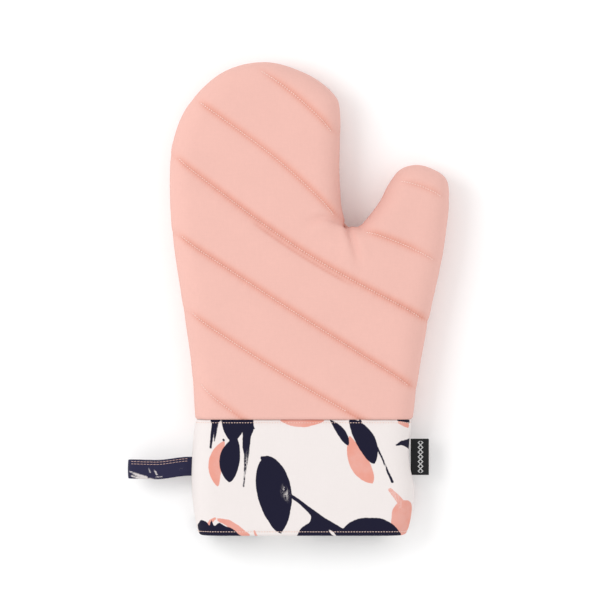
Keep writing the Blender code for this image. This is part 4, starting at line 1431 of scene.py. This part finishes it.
def finish_for(name):
    """The material of that name, made with its groups the first time it is asked for."""
    if not GROUPS:
        for make_group in (weave_group, mottle_group, pucker_group, print_group):
            make_group()
    scene = bpy.context.scene
    sizes, colours = scene.mitt_sizes, scene.mitt_colours
    makers = {
        "quilted_cotton": (quilted_material, colours.hand, sizes),
        "lining_cotton": (cotton_material, colours.lining, sizes),
        "wadding": (wadding_material, colours.wadding),
        "printed_cotton": (printed_material, colours, sizes),
        "facing_cotton": (cotton_material, colours.lining, sizes),
        "sewing_thread": (thread_material, colours.thread, sizes.thread),
        "loop_cotton": (loop_material, colours, sizes),
        "loop_thread": (thread_material, colours.loop_thread, sizes.thread),
        "cuff_thread": (thread_material, colours.cuff_thread, sizes.thread),
        "label_weave": (label_material, colours),
    }
    if name not in MATERIALS:
        make, *values = makers[name]
        MATERIALS[name] = make(name.replace("_", " "), *values)
    return MATERIALS[name]


def finish(item, material, slot, body, *nodes):
    """Gives a piece its material and its body, and hides the frame's nodes that it stands for; slot is not
    used.
    """
    item.data.materials.append(finish_for(material))
    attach(item, body)
    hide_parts(*nodes)
    return item


# ---------------------------------------------------------------- settings


def number_setting(name, description, default, **more):
    """A number that a user would change."""
    return FloatProperty(name=name, description=description, default=default, min=0.0, **more)


def length_setting(name, description, default):
    """A length that a user would change."""
    return number_setting(name, description, default, unit="LENGTH", precision=5)


def colour_setting(name, description, default):
    """A colour that a user would change."""
    more = {"default": default, "min": 0.0, "max": 1.0, "size": 3, "subtype": "COLOR"}
    return FloatVectorProperty(name=name, description=description, **more)


class MittSizes(bpy.types.PropertyGroup):
    """Sizes of the cloth and its sewing."""

    thread: length_setting("Thread", "Thickness of the sewing thread", 0.00048)
    stitch_pitch: length_setting("Stitch pitch", "From one stitch to the next", 0.0017)
    stitch_length: length_setting("Stitch length", "Length of one stitch", 0.00125)
    weave_pitch: length_setting("Weave pitch", "Two threads of the cotton's weave", 0.0008)
    quilt_depth: number_setting("Quilting depth", "Depth of the rows, as a share of the usual", 1.0, max=2.0)


class MittColours(bpy.types.PropertyGroup):
    """Colours of the cloth, print and thread."""

    hand: colour_setting("Hand", "Quilted cotton of the hand part", (0.775, 0.455, 0.398))
    thread: colour_setting("Thread", "Quilting thread", (0.95, 0.72, 0.65))
    lining: colour_setting("Lining", "Cotton inside the mitt", (0.78, 0.74, 0.71))
    wadding: colour_setting("Wadding", "Filling between the layers", (0.86, 0.86, 0.85))
    cuff: colour_setting("Cuff", "Ground of the printed cotton", (0.79, 0.735, 0.72))
    navy: colour_setting("Navy", "Dark ink of the print", (0.0082, 0.0075, 0.025))
    coral: colour_setting("Coral", "Light ink of the print", (0.74, 0.31, 0.245))
    cuff_thread: colour_setting("Cuff thread", "Stitching on the cuff", (0.85, 0.62, 0.54))
    loop: colour_setting("Loop", "Dark cotton of the hanging loop", (0.018, 0.0172, 0.045))
    loop_thread: colour_setting("Loop thread", "Stitching on the loop", (0.66, 0.44, 0.38))
    label: colour_setting("Label", "Woven label", (0.012, 0.012, 0.013))
    label_yarn: colour_setting("Label yarn", "Pattern of the woven label", (0.62, 0.62, 0.62))


class MittStage(bpy.types.PropertyGroup):
    """Floor and light."""

    ambient: number_setting("Ambient", "Strength of the light from all round", 0.95)
    key: number_setting("Key", "Power of the main lamp in watts", 6.5)
    key_size: length_setting("Key size", "Width of the main lamp", 0.75)
    fill: number_setting("Fill", "Power of the lamp on the other side in watts", 0.9)
    fill_size: length_setting("Fill size", "Width of the lamp on the other side", 1.0)


# ---------------------------------------------------------------- stage

FLOOR_HALF = 4.0
KEY_AT = -0.85, 0.25, 1.15
FILL_AT = 1.0, -0.2, 0.45
CAMERA_AT = 0.0072, -0.0010, 3.168 + SEAM_LEVEL


def add_lamp(name, size, power, at):
    """A square lamp that shines on the mitt."""
    lamp = bpy.data.lights.new(name, "AREA")
    lamp.shape = "SQUARE"
    lamp.size = size
    lamp.energy = power
    light = bpy.data.objects.new(name, lamp)
    light.location = at
    light.rotation_euler = (-light.location).to_track_quat("-Z", "Y").to_euler()
    bpy.context.scene.collection.objects.link(light)


# ---------------------------------------------------------------- operators


class MITT_OT_hand_panels(bpy.types.Operator):
    """Builds the quilted front and back of the hand part"""

    bl_idname = "mitt.hand_panels"
    bl_label = "Hand panels"

    def execute(self, context):
        sizes = context.scene.mitt_sizes
        for front, face in FACES:
            item = hand_layer(f"{face}_panel", front, 2, PANEL, (1.0, 1.0), sizes.quilt_depth)
            finish(item, "quilted_cotton", "quilted_cotton", "mitt", f"outer_{face}")
        return {"FINISHED"}


class MITT_OT_hand_inside(bpy.types.Operator):
    """Builds the wadding and the lining of the hand part"""

    bl_idname = "mitt.hand_inside"
    bl_label = "Wadding and lining"

    def execute(self, context):
        depth = context.scene.mitt_sizes.quilt_depth
        for front, face in FACES:
            item = hand_layer(f"{face}_wadding", front, 1, WADDING, (1.0, 0.35), depth)
            finish(item, "wadding", "wadding", "mitt", f"wadding_{face}")
            item = hand_layer(f"{face}_lining", front, 1, LINING, (0.35, 0.35), depth)
            finish(item, "lining_cotton", "lining_cotton", "mitt", f"lining_{face}")
        return {"FINISHED"}


class MITT_OT_quilting(bpy.types.Operator):
    """Builds the stitches of every quilting row, front and back"""

    bl_idname = "mitt.quilting"
    bl_label = "Quilting stitches"

    def execute(self, context):
        for name in QUILT_ROWS:
            for front, face in FACES:
                item = quilting_stitches(name, front, context.scene.mitt_sizes)
                finish(item, "sewing_thread", "sewing_thread", "mitt", f"quilt_{name}_{face}")
        return {"FINISHED"}


class MITT_OT_cuff(bpy.types.Operator):
    """Builds the cuff: printed band, wadding and facing, front and back"""

    bl_idname = "mitt.cuff"
    bl_label = "Cuff"

    def execute(self, context):
        for front, face in FACES:
            band = [hem_path(depth, CUFF_START, HEM_TURN) for depth in CUFF_CLOTH]
            item, flat = cuff_layer(f"cuff_band_{face}", front, band, (1.0, 1.0))
            printed = front_print if front else back_print
            give_values(item.data, **printed(print_place(flat)))
            finish(item, "printed_cotton", "printed_cotton", "mitt", f"cuff_{face}")
            straight = np.linspace(CUFF_START, CUFF_LENGTH - HEM_RADIUS, 40)
            pad = [(straight, np.full(len(straight), inset)) for inset in CUFF_WADDING]
            item, _ = cuff_layer(f"cuff_pad_{face}", front, pad, (1.0, 0.3))
            finish(item, "wadding", "wadding", "mitt", f"cuff_wadding_{face}")
            inside = [facing_path(depth, HEM_TURN) for depth in (CUFF_FACING, 0.0)]
            item, _ = cuff_layer(f"cuff_inside_{face}", front, inside, (0.0, 0.0))
            finish(item, "facing_cotton", "lining_cotton", "mitt", f"cuff_facing_{face}")
        return {"FINISHED"}


class MITT_OT_cuff_stitches(bpy.types.Operator):
    """Builds the two rows of stitching across each face of the cuff"""

    bl_idname = "mitt.cuff_stitches"
    bl_label = "Cuff stitches"

    def execute(self, context):
        sizes = context.scene.mitt_sizes
        for front, face in FACES:
            for name, node, at in CUFF_ROWS:
                item = cuff_stitches(f"stitches_{name}_{face}", front, at, sizes)
                finish(item, "cuff_thread", "sewing_thread", "mitt", f"{node}_{face}")
        return {"FINISHED"}


class MITT_OT_hanging_loop(bpy.types.Operator):
    """Builds the folded hanging loop with its two rows of stitching"""

    bl_idname = "mitt.hanging_loop"
    bl_label = "Hanging loop"

    def execute(self, context):
        sizes = context.scene.mitt_sizes
        path = folded_path(LOOP_REACH - LOOP_THICK / 2, LOOP_ROOT, LOOP_SPREAD, 60)
        ring = section(LOOP_WIDTH, LOOP_THICK, bow=LOOP_BOW)
        item, flat = strip("loop_strip", LOOP_PIVOT, path, ring, -1, loop_sag)
        give_values(item.data, bare=loop_print(flat[:, 0], flat[:, 1]))
        finish(item, "loop_cotton", "loop_cotton", "loop", "hanging_loop")
        for number, side in enumerate(LOOP_ROWS, 1):
            item = loop_stitches(f"stitches_loop_{number}", path[4:56], side, sizes)
            finish(item, "loop_thread", "sewing_thread", "loop", f"loop_stitch_{number}")
        return {"FINISHED"}


class MITT_OT_side_label(bpy.types.Operator):
    """Builds the folded woven label"""

    bl_idname = "mitt.side_label"
    bl_label = "Side label"

    def execute(self, context):
        path = folded_path(LABEL_REACH - LABEL_THICK / 2, LABEL_SPREAD, LABEL_SPREAD, 24)
        item, _ = strip("woven_label", LABEL_PIVOT, path, section(LABEL_WIDTH, LABEL_THICK, 25), 1)
        finish(item, "label_weave", "label_weave", "label", "side_label")
        return {"FINISHED"}


class MITT_OT_stage(bpy.types.Operator):
    """Sets the floor, the light and the camera"""

    bl_idname = "mitt.stage"
    bl_label = "Stage"

    def execute(self, context):
        scene = context.scene
        stage = scene.mitt_stage
        corners = FLOOR_HALF * np.array([(-1, -1, 0), (1, -1, 0), (1, 1, 0), (-1, 1, 0)])
        floor = add_piece("floor", new_mesh("floor", corners, np.arange(4), np.array([0])))
        material, _, shader = new_material("floor paper", 0.9)
        shader.inputs["Base Color"].default_value = (0.97, 0.97, 0.97, 1)
        shader.inputs["Specular IOR Level"].default_value = 0.0
        floor.data.materials.append(material)
        world = bpy.data.worlds.new("white room")
        world.use_nodes = True
        background = world.node_tree.nodes["Background"]
        background.inputs["Color"].default_value = (1, 1, 1, 1)
        background.inputs["Strength"].default_value = stage.ambient
        scene.world = world
        add_lamp("key", stage.key_size, stage.key, KEY_AT)
        add_lamp("fill", stage.fill_size, stage.fill, FILL_AT)
        view = bpy.data.cameras.new("camera")
        view.lens = 300
        view.sensor_width = 36
        camera = bpy.data.objects.new("camera", view)
        camera.location = CAMERA_AT
        scene.collection.objects.link(camera)
        scene.camera = camera
        scene.view_settings.view_transform = "Standard"
        return {"FINISHED"}


class MITT_PT_panel(bpy.types.Panel):
    """Builds the mitt piece by piece"""

    bl_idname = "MITT_PT_panel"
    bl_label = "Oven mitt"
    bl_space_type = "VIEW_3D"
    bl_region_type = "UI"
    bl_category = "Mitt"

    def draw(self, context):
        for operator in OPERATORS:
            self.layout.operator(operator.bl_idname)
        for group in (context.scene.mitt_sizes, context.scene.mitt_colours, context.scene.mitt_stage):
            box = self.layout.box()
            for name in group.__annotations__:
                box.prop(group, name)


OPERATORS = (
    MITT_OT_stage,
    MITT_OT_hand_panels,
    MITT_OT_hand_inside,
    MITT_OT_quilting,
    MITT_OT_cuff,
    MITT_OT_cuff_stitches,
    MITT_OT_hanging_loop,
    MITT_OT_side_label,
)
CLASSES = (MittSizes, MittColours, MittStage, *OPERATORS, MITT_PT_panel)


def register():
    """Registers the classes and hangs the settings on the scene."""
    for item in CLASSES:
        bpy.utils.register_class(item)
    bpy.types.Scene.mitt_sizes = PointerProperty(type=MittSizes)
    bpy.types.Scene.mitt_colours = PointerProperty(type=MittColours)
    bpy.types.Scene.mitt_stage = PointerProperty(type=MittStage)


def unregister():
    """Takes away what register added."""
    del bpy.types.Scene.mitt_sizes
    del bpy.types.Scene.mitt_colours
    del bpy.types.Scene.mitt_stage
    for item in reversed(CLASSES):
        bpy.utils.unregister_class(item)


def main():
    """Builds every piece in order."""
    register()
    for operator in OPERATORS:
        family, name = operator.bl_idname.split(".")
        getattr(getattr(bpy.ops, family), name)()


if __name__ == "__main__":
    main()
